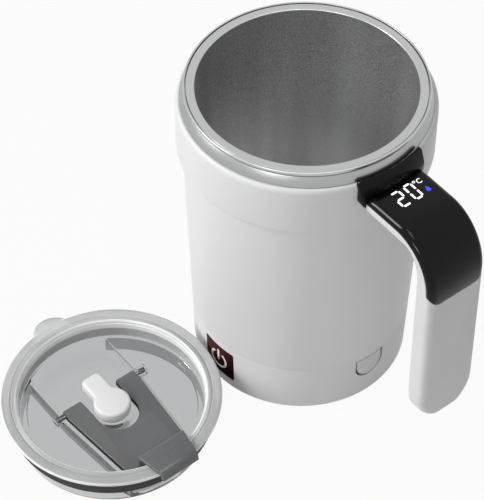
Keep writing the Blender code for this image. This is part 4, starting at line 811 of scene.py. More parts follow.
def plate(outlines, thickness, place=Matrix(), edge=0.0):
    """A flat plate round its own plane; outlines after the first are holes."""
    drawn = bpy.data.curves.new("plate", "CURVE")
    drawn.dimensions = "2D"
    drawn.fill_mode = "BOTH"
    drawn.extrude = (thickness / 2 - edge) / MM
    drawn.bevel_depth = edge / MM
    drawn.bevel_resolution = 2
    drawn.offset = -edge / MM
    for outline in outlines:
        line = drawn.splines.new("POLY")
        line.points.add(len(outline) - 1)
        for point, (x, y) in zip(line.points, outline):
            point.co = (x / MM, y / MM, 0, 1)
        line.use_cyclic_u = True
    holder = held(drawn)
    mesh = evaluated(holder)
    bpy.data.objects.remove(holder, do_unlink=True)
    mesh.transform(Matrix.Scale(MM, 4))
    mesh.transform(place)
    return tidy(mesh)


def slab(outline, bottom, top, edge=0.0):
    """A level plate between two heights."""
    return plate([outline], top - bottom, Matrix.Translation((0, 0, (top + bottom) / 2)), edge)


FACE_X = Matrix(((0, 0, 1, 0), (1, 0, 0, 0), (0, 1, 0, 0), (0, 0, 0, 1)))
FACE_Y = Matrix(((1, 0, 0, 0), (0, 0, -1, 0), (0, 1, 0, 0), (0, 0, 0, 1)))


def facing_x(x, y, z):
    """Lays a plate's outline across Y and up Z, at a place."""
    return Matrix.Translation((x, y, z)) @ FACE_X


def facing_y(x, y, z):
    """Lays a plate's outline across X and up Z, at a place."""
    return Matrix.Translation((x, y, z)) @ FACE_Y


def rod(radius, start, end, steps=SMALL_ROUND, edge=0.0):
    """A straight round bar between two points."""
    start, end = Vector(start), Vector(end)
    half = (end - start).length / 2
    profile = [(0.0, half), *fillet([(0.0, half), (radius, half, edge), (radius, -half, edge),
                                     (0.0, -half)])[1:-1], (0.0, -half)]
    mesh = turned(profile, steps)
    mesh.transform(Matrix.Translation((start + end) / 2)
                   @ (end - start).to_track_quat("Z", "Y").to_matrix().to_4x4())
    return tidy(mesh)


def applied(piece, modifier):
    """Puts what the piece's only modifier comes to in the place of its mesh."""
    mesh, old = evaluated(piece), piece.data
    piece.modifiers.remove(modifier)
    piece.data = mesh
    bpy.data.meshes.remove(old)


def combine(piece, operation, meshes):
    """Changes a piece with each mesh in turn."""
    for mesh in meshes:
        helper = held(mesh)
        step = piece.modifiers.new("combine", "BOOLEAN")
        step.operation = operation
        step.solver = "EXACT"
        step.object = helper
        applied(piece, step)
        bpy.data.meshes.remove(released(helper))


def cut(piece, *meshes):
    """Takes each mesh's volume out of a piece."""
    combine(piece, "DIFFERENCE", meshes)


def trim(piece, *meshes):
    """Keeps what a piece shares with each mesh."""
    combine(piece, "INTERSECT", meshes)


def join(piece, *meshes):
    """Adds each mesh's volume to a piece."""
    combine(piece, "UNION", meshes)


def soften(piece, width, steps):
    """Rounds the sharp edges of a piece."""
    bevel = piece.modifiers.new("edges", "BEVEL")
    bevel.width = width
    bevel.segments = steps
    bevel.limit_method = "ANGLE"
    bevel.angle_limit = SHARP
    bevel.use_clamp_overlap = True
    applied(piece, bevel)


def smooth(mesh):
    """Shades a mesh smooth but keeps its sharper edges."""
    shape = bmesh.new()
    shape.from_mesh(mesh)
    for face in shape.faces:
        face.smooth = True
    for edge in shape.edges:
        edge.smooth = len(edge.link_faces) == 2 and edge.calc_face_angle(0.0) < CREASE
    shape.to_mesh(mesh)
    shape.free()


def settle(piece, name, body, slot, *nodes, finishes=None, zone=None):
    """Finishes a piece: its name, shading, finish and body, and hides the nodes it stands for.

    zone gives each face's finish as its number in finishes; slot is the finish when finishes is
    not given.
    """
    if isinstance(piece, bpy.types.Mesh):
        piece = held(piece)
    if len(piece.data.polygons) == 0:
        raise RuntimeError(f"{name} came out empty")
    piece.name = name
    piece.data.name = name
    smooth(piece.data)
    piece.data.materials.clear()
    for kind in finishes or (slot,):
        piece.data.materials.append(finish(kind))
    if zone is not None:
        for face in piece.data.polygons:
            face.material_index = zone(face)
    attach(piece, body)
    if nodes:
        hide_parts(*nodes)


# Mug body and mouth

LEDGE = (0.0050, 0.0045, 0.0095)  # the motor deck's ledge: depth, height, and where it starts
SPIGOT = 0.0042                  # how far the base ring rises inside the wall
RING_SHEET = 0.0012              # thickness of the base ring's spigot and seat
COVER_INSET = 0.0022             # from the wall in to the bottom cover
COVER_SEAT = (0.0037, 0.0035)    # the cover's seat: its height above the pad and its width
WINDOW_IN = 0.0009               # from the wall in to the middle of the cutters for its windows
WINDOW_CORNER = 0.0008
RIM_INNER_EDGE = 0.00015
RIM_BEVEL = 0.0007               # bevel round the rim ring's foot
NECK_STEP = 0.0003               # the rim ring stands this far out over the neck band
NECK_SHEET = 0.0005
RIM_SHELF = (0.0012, 0.0005)     # the rim ring's shelf under the lip: reach and thickness
STUD = (0.0016, 0.0055)          # the stirrer's stud: radius and height
STUD_EDGE = 0.0004
LIP_EDGE = 0.0004
LIP_CORNER = 0.00015             # bevel of the cup's outer edge at its lip
CUP_TAPER = 0.0016               # how much the cup narrows down to its floor
COLLAR_FOOT_EDGE = 0.0006
ROTOR = (0.0042, 0.0011)         # the stirrer's blade: thickness and rounding
HUB = (0.0040, 0.0010)           # its hub: radius and rounding
POCKET = (0.0085, 0.0033, 0.0027)  # its magnets' pockets: from the middle, radius and depth


def body_radius(z):
    """Outside radius of the mug's tapering body at a height."""
    sizes = bpy.context.scene.mug_body
    top = sizes.collar - sizes.collar_step
    return top - sizes.taper * (1 - z / sizes.collar_foot)


def neck_radius(z):
    """Outside radius of the steel neck band's cone at a height."""
    sizes = bpy.context.scene.mug_body
    top = sizes.rim - NECK_STEP
    share = (sizes.neck_top - z) / (sizes.neck_top - sizes.neck_foot)
    return top + (high("neck_band").x - top) * share


class MUG_OT_walls(Operator):
    """Tapering white wall, the wider collar and the base ring with its two windows"""

    bl_idname = "mug.walls"
    bl_label = "Wall, collar and base ring"

    def execute(self, context):
        sizes = context.scene.mug_body
        controls = context.scene.mug_controls
        wall, edge = sizes.wall, sizes.seam_edge
        top, foot = high("outer_shell").z, sizes.seam + HAIR
        ledge = low("motor_deck").z - FIT
        ledge_in = body_radius(ledge) - wall - LEDGE[0]
        settle(turned(fillet([
            (body_radius(top), top), (body_radius(foot), foot, edge),
            (body_radius(foot) - wall, foot, edge / 2),
            (body_radius(ledge - LEDGE[2]) - wall, ledge - LEDGE[2]),
            (ledge_in, ledge - LEDGE[1]), (ledge_in, ledge), (body_radius(ledge) - wall, ledge),
            (body_radius(top) - wall, top)])), "wall", "mug", "white_plastic", "outer_shell")

        edge_top = sizes.neck_foot - FIT
        bore = sizes.mouth + sizes.cup_wall + FIT
        collar_top = high("upper_collar").z
        shoulder = [(sizes.collar - sizes.ledge + sizes.ledge * math.sin(a),
                     edge_top - sizes.shoulder + sizes.shoulder * math.cos(a))
                    for a in (math.radians(7.5 * i) for i in range(13))]
        neck = [neck_radius(z) - (NECK_SHEET + FIT) for z in (collar_top, edge_top)]
        under = body_radius(sizes.collar_foot) + FIT
        settle(turned([
            (bore, collar_top), (neck[0], collar_top), (neck[1], edge_top), *shoulder,
            *fillet([(sizes.collar, edge_top - sizes.shoulder),
                     (sizes.collar, sizes.collar_foot, COLLAR_FOOT_EDGE),
                     (under, sizes.collar_foot), (under, top)])[1:-1],
            (body_radius(top) + FIT, top + FIT), (bore, top + FIT)]),
            "collar", "mug", "white_plastic", "upper_collar")

        spigot = body_radius(foot) - wall - FIT
        inside = body_radius(0.0) - wall
        seat, lift = low("foot_pad").z + COVER_SEAT[0], low("base_ring").z
        cover = body_radius(0.0) - COVER_INSET
        ring = held(turned(fillet([
            (spigot, sizes.seam + SPIGOT, EDGE), (spigot, sizes.seam),
            (body_radius(sizes.seam), sizes.seam, edge),
            (body_radius(lift), lift, sizes.base_edge), (cover + FIT, lift, FINE_EDGE),
            (cover + FIT, seat), (cover - COVER_SEAT[1], seat),
            (cover - COVER_SEAT[1], seat + RING_SHEET), (inside, seat + RING_SHEET),
            (inside, sizes.seam - RING_SHEET), (spigot - RING_SHEET, sizes.seam),
            (spigot - RING_SHEET, sizes.seam + SPIGOT)])))
        side = controls.button + 2 * FIT
        face = body_radius(0.0) - WINDOW_IN
        cut(ring,
            plate([rounded_box(side, side, WINDOW_CORNER)], 2 * OVERRUN,
                  facing_y(controls.button_aside, -face, button_middle())),
            plate([flap_outline(controls.flap_gap)], 2 * OVERRUN,
                  facing_x(face, 0, flap_middle())))
        settle(ring, "base_wall", "mug", "white_plastic", "base_ring")
        return {"FINISHED"}


class MUG_OT_mouth(Operator):
    """Brushed rim ring, the steel neck band and the dark seal between them"""

    bl_idname = "mug.mouth"
    bl_label = "Rim, neck band and seal"

    def execute(self, context):
        sizes = context.scene.mug_body
        inside, tuck = sizes.lip + FIT, sizes.lip - RIM_SHELF[0]
        shelf = low("rim_ring").z
        settle(turned(fillet([
            (inside, sizes.height, RIM_INNER_EDGE),
            (sizes.rim, sizes.height, sizes.rim_edge),
            (sizes.rim, shelf + RIM_BEVEL, FINE_EDGE),
            (sizes.rim - RIM_BEVEL, shelf, FINE_EDGE),
            (tuck, shelf), (tuck, shelf + RIM_SHELF[1]), (inside, shelf + RIM_SHELF[1])], 8)),
            "rim", "mug", "brushed_steel", "rim_ring")
        neck_top = (sizes.neck_top + 3 * shelf) / 4
        top, foot = neck_radius(neck_top), high("neck_band").x
        settle(turned(fillet([
            (top, neck_top, CRISP_EDGE), (foot, sizes.neck_foot, CRISP_EDGE),
            (foot - NECK_SHEET, sizes.neck_foot), (top - NECK_SHEET, neck_top)], 3)),
            "neck", "mug", "brushed_steel", "neck_band", finishes=("neck_steel",))
        seal_low, seal_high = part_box("rim_seal")
        outside = top - NECK_SHEET - FIT
        settle(turned([(outside, seal_high.z), (outside, seal_low.z), (tuck, seal_low.z),
                       (tuck, seal_high.z)]), "seal", "mug", "dark_rubber", "rim_seal")
        return {"FINISHED"}


class MUG_OT_cup(Operator):
    """Steel cup with its flat brushed lip, and the stirrer on its stud"""

    bl_idname = "mug.cup"
    bl_label = "Cup and stirrer"

    def execute(self, context):
        sizes = context.scene.mug_body
        bottom, top = low("inner_cup").z, high("inner_cup").z
        floor, wall, corner = sizes.cup_floor, sizes.cup_wall, sizes.cup_corner
        middle = (sizes.mouth - CUP_TAPER - corner, floor + corner)
        stud, stud_top = STUD[0], floor + STUD[1]
        settle(turned([
            (0, stud_top), *arc(stud - STUD_EDGE, stud_top - STUD_EDGE, STUD_EDGE, 90, 0),
            *arc(stud + STUD_EDGE, floor + STUD_EDGE, STUD_EDGE, 180, 270),
            *arc(*middle, corner, -90, 0, 12), (sizes.mouth, top - LIP_EDGE),
            *arc(sizes.mouth + LIP_EDGE, top - LIP_EDGE, LIP_EDGE, 180, 90)[1:],
            (sizes.lip - LIP_CORNER, top), (sizes.lip, top - LIP_CORNER),
            (sizes.lip, top - wall),
            (sizes.mouth + wall, top - wall), *arc(*middle, corner + wall, 0, -90, 12),
            (0, bottom)]), "cup", "mug", "blasted_steel", "inner_cup",
            finishes=("blasted_steel", "brushed_steel"),
            zone=lambda face: int(face.center.z > top - LIP_EDGE))

        rotor_low, rotor_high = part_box("stir_rotor")
        half = (rotor_high.x - rotor_low.x) / 2
        side = (rotor_high.y - rotor_low.y) / 2
        under = rotor_low.z
        rotor = held(slab(arc(half - side, 0, side, -90, 90, 20)
                          + arc(side - half, 0, side, 90, 270, 20),
                          under, under + ROTOR[0], ROTOR[1]))
        join(rotor, turned(fillet([(0, under + FIT), (HUB[0], under + FIT),
                                   (HUB[0], rotor_high.z, HUB[1]), (0, rotor_high.z)]), 64))
        cut(rotor, rod(stud + FIT, (0, 0, under - OVERRUN), (0, 0, stud_top + FIT)),
            *(rod(POCKET[1], (x, 0, under - OVERRUN), (x, 0, under + POCKET[2]))
              for x in (-POCKET[0], POCKET[0])))
        settle(rotor, "rotor", "stirrer", "white_silicone", "stir_rotor")
        return {"FINISHED"}


# Controls

SIGN_OVER = 0.0010               # how far its stroke reaches past its ring
SIGN_DROP = 0.0002               # how far the sign sits below the button's middle
BUTTON_DEPTH = 0.0043
BUTTON_FLANGE = (0.0008, 0.0037)  # its flange inside the wall: thickness and depth
BUTTON_CORNER = 0.0005
BUTTON_PROUD = 0.0001            # how far the button stands out of the wall
FLAP_DEPTH = 0.0016
FLAP_CORNER = 0.0006
DIVISION = (0.0012, 0.0010)      # longest straight stretch of the button's and flap's outlines


def button_middle():
    """Height of the power button's middle."""
    controls = bpy.context.scene.mug_controls
    return bpy.context.scene.mug_body.seam - controls.button_drop - controls.button / 2


def flap_middle():
    """Height of the port flap's middle."""
    return (low("port_flap").z + high("port_flap").z) / 2


def flap_outline(gap):
    """The port flap's outline: a flat top edge and a round lower end."""
    controls = bpy.context.scene.mug_controls
    half, height = controls.flap_width / 2, controls.flap_height
    top = height / 2 + gap
    return fillet([(half + gap, top, FLAP_CORNER), (-half - gap, top, FLAP_CORNER),
                   *arc(0, half - height / 2, half + gap, 180, 360, 28)])


def on_front(u, v, depth):
    """A point on the mug's front, across and up from the button's middle."""
    z = button_middle() + v
    radius = body_radius(z) + BUTTON_PROUD + depth
    x = u + bpy.context.scene.mug_controls.button_aside
    return Vector((x, -math.sqrt(max(radius * radius - x * x, 0.0)), z))


def on_port(u, v, depth):
    """A point on the mug's wall at the port, across and up from the flap's middle."""
    z = flap_middle() + v
    radius = body_radius(z) + depth
    return Vector((math.sqrt(max(radius * radius - u * u, 0.0)), u, z))


def stroke(points, width):
    """A thin line along points, printed on the button."""
    sections = []
    for i, point in enumerate(points):
        ahead = Vector(points[min(i + 1, len(points) - 1)]) - Vector(points[max(i - 1, 0)])
        side = Vector((-ahead.y, ahead.x)).normalized() * width / 2
        a, b = Vector(point) + side, Vector(point) - side
        sections.append([on_front(*p, depth) for p, depth in (
            (a, 0), (a, HAIR), (b, HAIR), (b, 0))])
    return lofted(sections)


class MUG_OT_button(Operator):
    """Square dark glass power button with its pale sign"""

    bl_idname = "mug.button"
    bl_label = "Power button"

    def execute(self, context):
        controls = context.scene.mug_controls
        side = controls.button
        button = held(tile(dense(rounded_box(side, side, BUTTON_CORNER), DIVISION[0]),
                           BUTTON_DEPTH, controls.button_edge, on_front))
        flange, inwards = BUTTON_FLANGE
        back = body_radius(0.0) - inwards - flange / 2
        join(button, plate([rounded_box(side + 2 * flange, side + flange, flange)], flange,
                           facing_y(controls.button_aside, -back, button_middle())))
        settle(button, "button", "button", "button_glass", "power_button")
        radius, line = controls.sign_radius, controls.sign_line
        parts = []
        for points in (arc(0, -SIGN_DROP, radius, 126, 414, 48),
                       [(0, (radius + SIGN_OVER) * k / 8 - SIGN_DROP) for k in range(9)]):
            parts.append(stroke(points, line))
            for end, beside in (points[:2], points[:-3:-1]):
                away = Vector(end) - Vector(beside)
                turn = math.degrees(math.atan2(away.y, away.x))
                parts.append(tile(arc(*end, line / 2, turn - 90, turn + 90, 8), HAIR / 2,
                                  HAIR / 4, lambda u, v, d: on_front(u, v, HAIR + d), 2))
        settle(merged(parts), "button_sign", "button", "white_plastic",
               finishes=("sign_print",))
        return {"FINISHED"}


class MUG_OT_port(Operator):
    """Soft flap over the charging port, flush with the wall"""

    bl_idname = "mug.port"
    bl_label = "Port flap"

    def execute(self, context):
        controls = context.scene.mug_controls
        settle(tile(dense(flap_outline(0.0), DIVISION[1]), FLAP_DEPTH, controls.flap_edge,
                    on_port), "flap", "flap", "flap_plastic", "port_flap")
        return {"FINISHED"}


# Handle

BEND = (0.0200, 0.0213)          # the outer bend, outwards and down
INNER_BEND = (0.0072, 0.0125)    # the inner bend
INNER_EDGE = 0.0020              # rounding along the edges that face the mug
ARM_START = 0.0394               # from the mug's axis to the arm's end
COVER_START = 0.0390             # the same for the space cut out for the cover
GRIP_CORNER = (0.0115, 0.0130)   # the rounding of the grip's lower end, across and up
GRIP_TIP = 0.0030                # the same, seen from the side
BRACKET_SHEET = 0.0020
BRACKET_EDGE = 0.00035
GRIP_SEAM = 0.00025              # rounding of the grip's edges where the cover meets it
MUG_OVER = 0.140                 # a height above all of the mug
ARM_UNDER = 0.040                # a depth below all of the arm's end
RIDGE = (0.0009, 0.0023, 1.27)   # the bracket's ridge, how far it leans in and how it curves
BRACKET_CORNERS = (0.0040, 0.0016)  # at the bracket's foot and at its top


def handle_section(sizes, outer, inner, half):
    """A rounded rectangle across the handle between two points of its side view."""
    outer, inner = Vector((outer[0], 0, outer[1])), Vector((inner[0], 0, inner[1]))
    depth = (outer - inner).length
    across = (outer - inner).normalized()
    section = []
    for sy, sn, start, edge in ((1, 1, 0, sizes.edge), (-1, 1, 90, sizes.edge),
                                (-1, -1, 180, INNER_EDGE), (1, -1, 270, INNER_EDGE)):
        edge = min(edge, half * 2 / 3, depth / 3)
        section += [(outer + inner) / 2 + across * n + Vector((0, y, 0)) for y, n in arc(
            sy * (half - edge), sn * (depth / 2 - edge), edge, start, start + 90, 6)]
    return section


def bent(x, z, width, height):
    """Points of a side view down a quarter of an ellipse about (x, z)."""
    return [(x + width * math.cos(a), z + height * math.sin(a))
            for a in (math.radians(90 - 90 * i / 28) for i in range(29))]


def handle_form(sizes):
    """The whole handle as one solid: arm, bend, grip and rounded lower end."""
    half, top, under = sizes.width / 2, sizes.top, sizes.top - sizes.arm
    inside, bend_x = sizes.reach - sizes.grip, sizes.reach - BEND[0]
    sections = [handle_section(sizes, (x, top), (x, under), half)
                for x in (ARM_START, (ARM_START + bend_x) / 2)]
    for outer, inner in zip(bent(bend_x, top - BEND[1], *BEND),
                            bent(inside - INNER_BEND[0], under - INNER_BEND[1], *INNER_BEND)):
        sections.append(handle_section(sizes, outer, inner, half))
    for i in range(17):
        turn = math.radians(90 * i / 16)
        up = GRIP_CORNER[1] * (1 - math.sin(turn))
        rise = min(max(0.0, GRIP_TIP - up), GRIP_TIP)
        step = GRIP_TIP - math.sqrt(GRIP_TIP ** 2 - rise ** 2)
        sections.append(handle_section(
            sizes, (sizes.reach + sizes.lean - step, sizes.foot + up),
            (inside + sizes.lean + step, sizes.foot + up),
            half - GRIP_CORNER[0] * (1 - math.cos(turn))))
    return lofted(sections)


def cover_region(sizes, extra):
    """The space that the glossy cover fills, grown by extra on all sides."""
    depth = sizes.cover + extra
    lower = sizes.top - sizes.cover_length - OVERRUN
    near, far = COVER_START, sizes.reach + 2 * OVERRUN
    side_view = [(near, sizes.top - depth),
                 *bent(sizes.reach - BEND[0], sizes.top - BEND[1], BEND[0] - depth,
                       BEND[1] - depth),
                 (sizes.reach + sizes.lean - depth, lower), (far, lower),
                 (far, sizes.top + OVERRUN), (near, sizes.top + OVERRUN)]
    region = held(plate([side_view], sizes.width + OVERRUN, FACE_Y))
    height = sizes.cover_length + 2 * OVERRUN + extra
    corner = sizes.cover_corner + extra
    half = sizes.width / 2 + extra
    front_view = [(half, height / 2), (-half, height / 2),
                  *arc(corner - half, corner - height / 2, corner, 180, 270, 12),
                  *arc(half - corner, corner - height / 2, corner, 270, 360, 12)]
    trim(region, plate([front_view], 2 * far,
                       facing_x(far, 0, sizes.top + 2 * OVERRUN - height / 2)))
    return released(region)


def collar_clearance(sizes):
    """What the arm's end leaves free: the bracket and, under it, the collar."""
    inside = bpy.context.scene.mug_body.collar + FIT
    outside, step = inside + FIT + BRACKET_SHEET, low("handle_bracket").z - FIT
    return turned([(0, MUG_OVER), (outside, MUG_OVER), (outside, step), (inside, step),
                   (inside, sizes.top - ARM_UNDER), (0, sizes.top - ARM_UNDER)])


class MUG_OT_handle(Operator):
    """Pale grip and the glossy black cover over its arm and bend"""

    bl_idname = "mug.handle"
    bl_label = "Grip and cover"

    def execute(self, context):
        sizes = context.scene.mug_handle
        grip, cover = held(handle_form(sizes)), held(handle_form(sizes))
        cut(grip, cover_region(sizes, FIT), collar_clearance(sizes))
        soften(grip, GRIP_SEAM, 2)
        settle(grip, "grip", "mug", "grip_plastic", "handle_grip")
        trim(cover, cover_region(sizes, 0.0))
        cut(cover, collar_clearance(sizes))
        soften(cover, EDGE, 3)
        settle(cover, "cover", "mug", "black_gloss", "handle_cover")
        return {"FINISHED"}


class MUG_OT_bracket(Operator):
    """Black curved plate that holds the handle and leans in to a ridge along its top"""

    bl_idname = "mug.bracket"
    bl_label = "Bracket"

    def execute(self, context):
        sizes = context.scene.mug_handle
        body = context.scene.mug_body
        bottom, top = low("handle_bracket").z, high("handle_bracket").z
        inner = body.collar + FIT
        outer = inner + BRACKET_SHEET
        ridge, lean_in, curve = RIDGE
        foot_corner, top_corner = BRACKET_CORNERS
        near, lean = neck_radius(top), body.shoulder
        edge_top = body.neck_foot - FIT
        face = [(outer - lean_in * (k / 12) ** curve, sizes.top + (top - sizes.top) * k / 12)
                for k in range(11, -1, -1)]
        bracket = held(turned(fillet([
            (near + ridge + FIT, top - ridge / 2, EDGE), (near + 2 * ridge, top, FINE_EDGE),
            (outer - lean_in, top, EDGE), *face, (outer, bottom - OVERRUN),
            (inner, bottom - OVERRUN), (inner, edge_top - lean, SHEET_EDGE),
            (inner - lean / 8, edge_top - lean / 4, SHEET_EDGE)]), 256))
        half, up = sizes.bracket / 2, (top - bottom) / 2
        outline = fillet([(half, -up, foot_corner), (half, up, top_corner),
                          (-half, up, top_corner), (-half, -up, foot_corner)], 10)
        trim(bracket, plate([outline], 2 * body.collar,
                            facing_x(2 * body.collar - OVERRUN, 0, (top + bottom) / 2)))
        soften(bracket, BRACKET_EDGE, 3)
        settle(bracket, "bracket", "mug", "black_plastic", "handle_bracket")
        return {"FINISHED"}


# The display's signs: along X from back to front of the arm, and along Y
DIGITS = (("abged", 0.0502, 0.0577, -0.0053, -0.0012), ("abcdef", 0.0499, 0.0577, 0.0004, 0.0042))
DEGREE = (0.0507, 0.0052)
DEGREE_RADII = (0.00055, 0.00028)
LETTER = (0.05135, 0.0072)
LETTER_RADII = (0.00110, 0.00078)
DROP = (0.0544, 0.0563, 0.00705, 0.00085)


def segment(name, back, front, left, right, line, gap):
    """Outline of one segment of a digit that stands with its top towards the mug."""
    half = line / 2
    x = {"top": back + half, "middle": (back + front) / 2, "foot": front - half}
    left, right = left + half, right - half
    a, b, c, d = {"a": ("top", left, "top", right), "g": ("middle", left, "middle", right),
                  "d": ("foot", left, "foot", right), "f": ("top", left, "middle", left),
                  "b": ("top", right, "middle", right), "e": ("middle", left, "foot", left),
                  "c": ("middle", right, "foot", right)}[name]
    start, end = Vector((x[a], b)), Vector((x[c], d))
    along = (end - start).normalized()
    side = Vector((-along.y, along.x)) * half
    start, end = start + along * gap / 1.4, end - along * gap / 1.4
    point = along * half
    return [tuple(p) for p in (start, start + side + point, end + side - point, end,
                               end - side - point, start - side + point)]


class MUG_OT_display(Operator):
    """Lit digits, the degree sign and the blue drop on the handle's top"""

    bl_idname = "mug.display"
    bl_label = "Display"

    def execute(self, context):
        controls = context.scene.mug_controls
        level = Matrix.Translation((0, 0, context.scene.mug_handle.top + HAIR / 2))
        parts = [plate([segment(name, *box, controls.digit_line, controls.digit_gap)], HAIR,
                       level) for lit, *box in DIGITS for name in lit]
        parts.append(plate([arc(*DEGREE, radius, 0, 345, 23) for radius in DEGREE_RADII], HAIR,
                           level))
        outer, inner = [arc(0, 0, radius, 45, 315, 20) for radius in LETTER_RADII]
        parts.append(plate([outer + inner[::-1]], HAIR, level @ Matrix.Translation((*LETTER, 0))
                           @ Matrix.Rotation(math.radians(90), 4, "Z")))
        settle(merged(parts), "display_digits", "mug", "white_plastic",
               finishes=("display_white",))
        tip, middle, y, radius = DROP
        drop = [(tip, y), *arc(middle, y, radius, 125, -125, 16)]
        settle(plate([drop], HAIR, level), "display_drop", "mug", "white_plastic",
               finishes=("display_blue",))
        return {"FINISHED"}


# Lid

CHANNEL_BEND = -0.0050           # where the channel starts to narrow
CHANNEL_FRONT = 0.0139           # half its width at the front
WELL_GAP = 0.0005                # between the channel's ends and the recess's wall
LEVER_GAP = 0.0006               # between the lever and the channel's walls
LID_FLOOR = 0.0018
HOLLOW_ROOF = 0.0016             # the decks' thickness over the hollows
DECK_WALL = 0.0009               # the sheet between the channel and the hollow beside it
DECK_STEP = (0.0318, 0.0004)     # where the deck steps up towards the wall, and by how much
GROOVE = 0.0011                  # the gasket's groove in the skirt, and how far it bulges out
COLLAR = (0.0063, 0.0075, 0.0073)  # the stopper's collar: inside, outside and top
RECESS = (0.0002, 0.0004, 0.0007)  # how far the recess's wall leans out, at three heights
RECESS_STEP = (0.0010, 0.0012)   # the upper two of those, over the flange's underside
MOUTH_TOP = (0.0003, 0.0005)     # the recess's top edge: how far out, and its rounding
FLANGE_GROOVE = (0.0018, 0.0002, 0.0005, 0.0007, 0.0003)  # start, floor, end and depth
FLANGE_SIDE = (0.0012, 0.0014)   # the slope under the flange's edge, up and inwards
SKIRT_SIDE = (0.0005, 0.0014)    # the slope of the skirt's lower part, down and inwards
FROST_START = 0.0004             # the frosted wall starts this far over the deck's step
TAB_EDGE = 0.0005
LID_OVER = 0.020                 # a height above all of the lid
TAB = (0.0455, 0.0082, 0.0022)   # the lift tab: its reach, its radius and its thickness
SIP_INSET = 0.0105               # from the channel's front end back to the drinking hole
PIVOT = (-0.0077, 0.0075)        # the lever's pivot, along the lid and up
PIN = 0.0010                     # radius of the holes for the lever's pins
BOSS = (0.0023, 0.0036)          # the lid's bosses for them: radius and length
LEVER_BOSS = 0.0015              # radius of the lever's own bosses
PIN_HOLES = (0.0102, 0.0105, 0.0202, 0.0210)  # where they start and end, sideways
LEVER_CORNERS = (0.0010, 0.0030, 0.0008)  # at its front, where it widens, and at its back
SLOT = (0.0079, 0.0114, -0.0095)  # the lever's slot: half width, round end and open back
STEM_ENDS = (0.0006, 0.0010)     # the stem's foot, and how far it runs into the head
STEM = (0.0046, 0.0050)          # radius of the stopper's stem, and of the hole for it
TAIL_NECK = (0.0004, 0.0010)     # where the tail meets the head: how far out, its rounding
TAIL = (0.0043, -0.0151, 0.0022)  # the stopper's tail: half width, end and corners
SIP = (0.0055, 0.0026)           # the drinking hole: half its straight part, and its radius
SIP_PAD = 0.0040                 # the same for its pad, both alike
RIB_BACK = 0.0005                # how deep the gasket's grooves are
HIGHLIGHT_DROP = 0.0010               # how far the painted highlight at the top of the recess wall reaches below the flange
HOOK_HALF = (0.0100, 0.0080)     # half the hook's width at its riser and at its tip
HOOK_SHEET = 0.0016
RISER_BEND = 0.0016              # its bend at the top of the riser
HOOK_BEND = 0.0025               # its bend over the flange's edge, which stays clear of it


def lid_middle():
    """Middle of the lid on the table."""
    low_gasket, high_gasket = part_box("lid_gasket")
    return (low_gasket + high_gasket) / 2


def settle_lid(piece, *args, **options):
    """Settles a piece that was made about the lid's own middle."""
    if not isinstance(piece, bpy.types.Mesh):
        piece = released(piece)
    middle = lid_middle()
    piece.transform(Matrix.Translation((middle.x, middle.y, 0)))
    settle(piece, *args, **options)


def side_rod(radius, side, start, end, steps=SMALL_ROUND):
    """A bar along the lever's pivot, on one side of the lid."""
    return rod(radius, (PIVOT[0], side * start, PIVOT[1]), (PIVOT[0], side * end, PIVOT[1]),
               steps)


def wall_turns(half, front_half, radius):
    """Where the channel's walls meet a circle, as angles at its back and its front."""
    return [math.degrees(math.asin(y / radius)) for y in (half, front_half)]


def channel_outline(half, front_half, radius):
    """Top view of the lever's channel: two walls that close in, and round ends."""
    back, front = wall_turns(half, front_half, radius)
    return [*arc(0, 0, radius, 180 - back, 180 + back, 24), (CHANNEL_BEND, -half),
            *arc(0, 0, radius, -front, front, 24), (CHANNEL_BEND, half)]


def deck_outline(side, radius, half):
    """Top view of the hollow under a side deck, on one side of the channel."""
    half += DECK_WALL
    back, front = wall_turns(half, CHANNEL_FRONT + DECK_WALL, radius)
    outline = [(CHANNEL_BEND, half), *arc(0, 0, radius, front, 180 - back, 40)]
    return [(x, side * y) for x, y in outline]


def lid_profile(sizes, under, highlight_foot):
    """Side view of the lid's decks, recess, flange and skirt, out from its middle."""
    edge, top, deck = sizes.edge, sizes.height, sizes.deck
    step = DECK_STEP[0] + DECK_STEP[1]
    ledge = deck + DECK_STEP[1]
    start, floor_start, floor_end, end, depth = FLANGE_GROOVE
    bead = sizes.mouth + start
    (slope_up, slope_in), (skirt_down, skirt_in) = FLANGE_SIDE, SKIRT_SIDE
    groove, foot = sizes.skirt - GROOVE, under - sizes.gasket
    return [(0, deck), *fillet([
        (LEAST, deck), (DECK_STEP[0], deck, FINE_EDGE), (step, ledge, FINE_EDGE),
        (sizes.well, ledge, SOFT_EDGE), (sizes.well + RECESS[0], highlight_foot),
        (sizes.well + RECESS[1], under + RECESS_STEP[0], FINE_EDGE),
        (sizes.well + RECESS[2], under + RECESS_STEP[1], FINE_EDGE),
        (sizes.mouth - edge / 3, top - edge, SOFT_EDGE),
        (sizes.mouth + MOUTH_TOP[0], top, MOUTH_TOP[1]),
        (bead, top, EDGE), (bead + floor_start, top - depth, CRISP_EDGE),
        (bead + floor_end, top - depth, CRISP_EDGE), (bead + end, top, FINE_EDGE),
        (sizes.radius, top, edge), (sizes.radius, under + slope_up, SOFT_EDGE),
        (sizes.radius - slope_in, under, EDGE), (groove, under), (groove, foot),
        (sizes.skirt, foot, FINE_EDGE), (sizes.skirt, foot - skirt_down, EDGE),
        (sizes.skirt - skirt_in, 0.0, edge), (LEAST, 0.0)])[1:-1], (0, 0)]


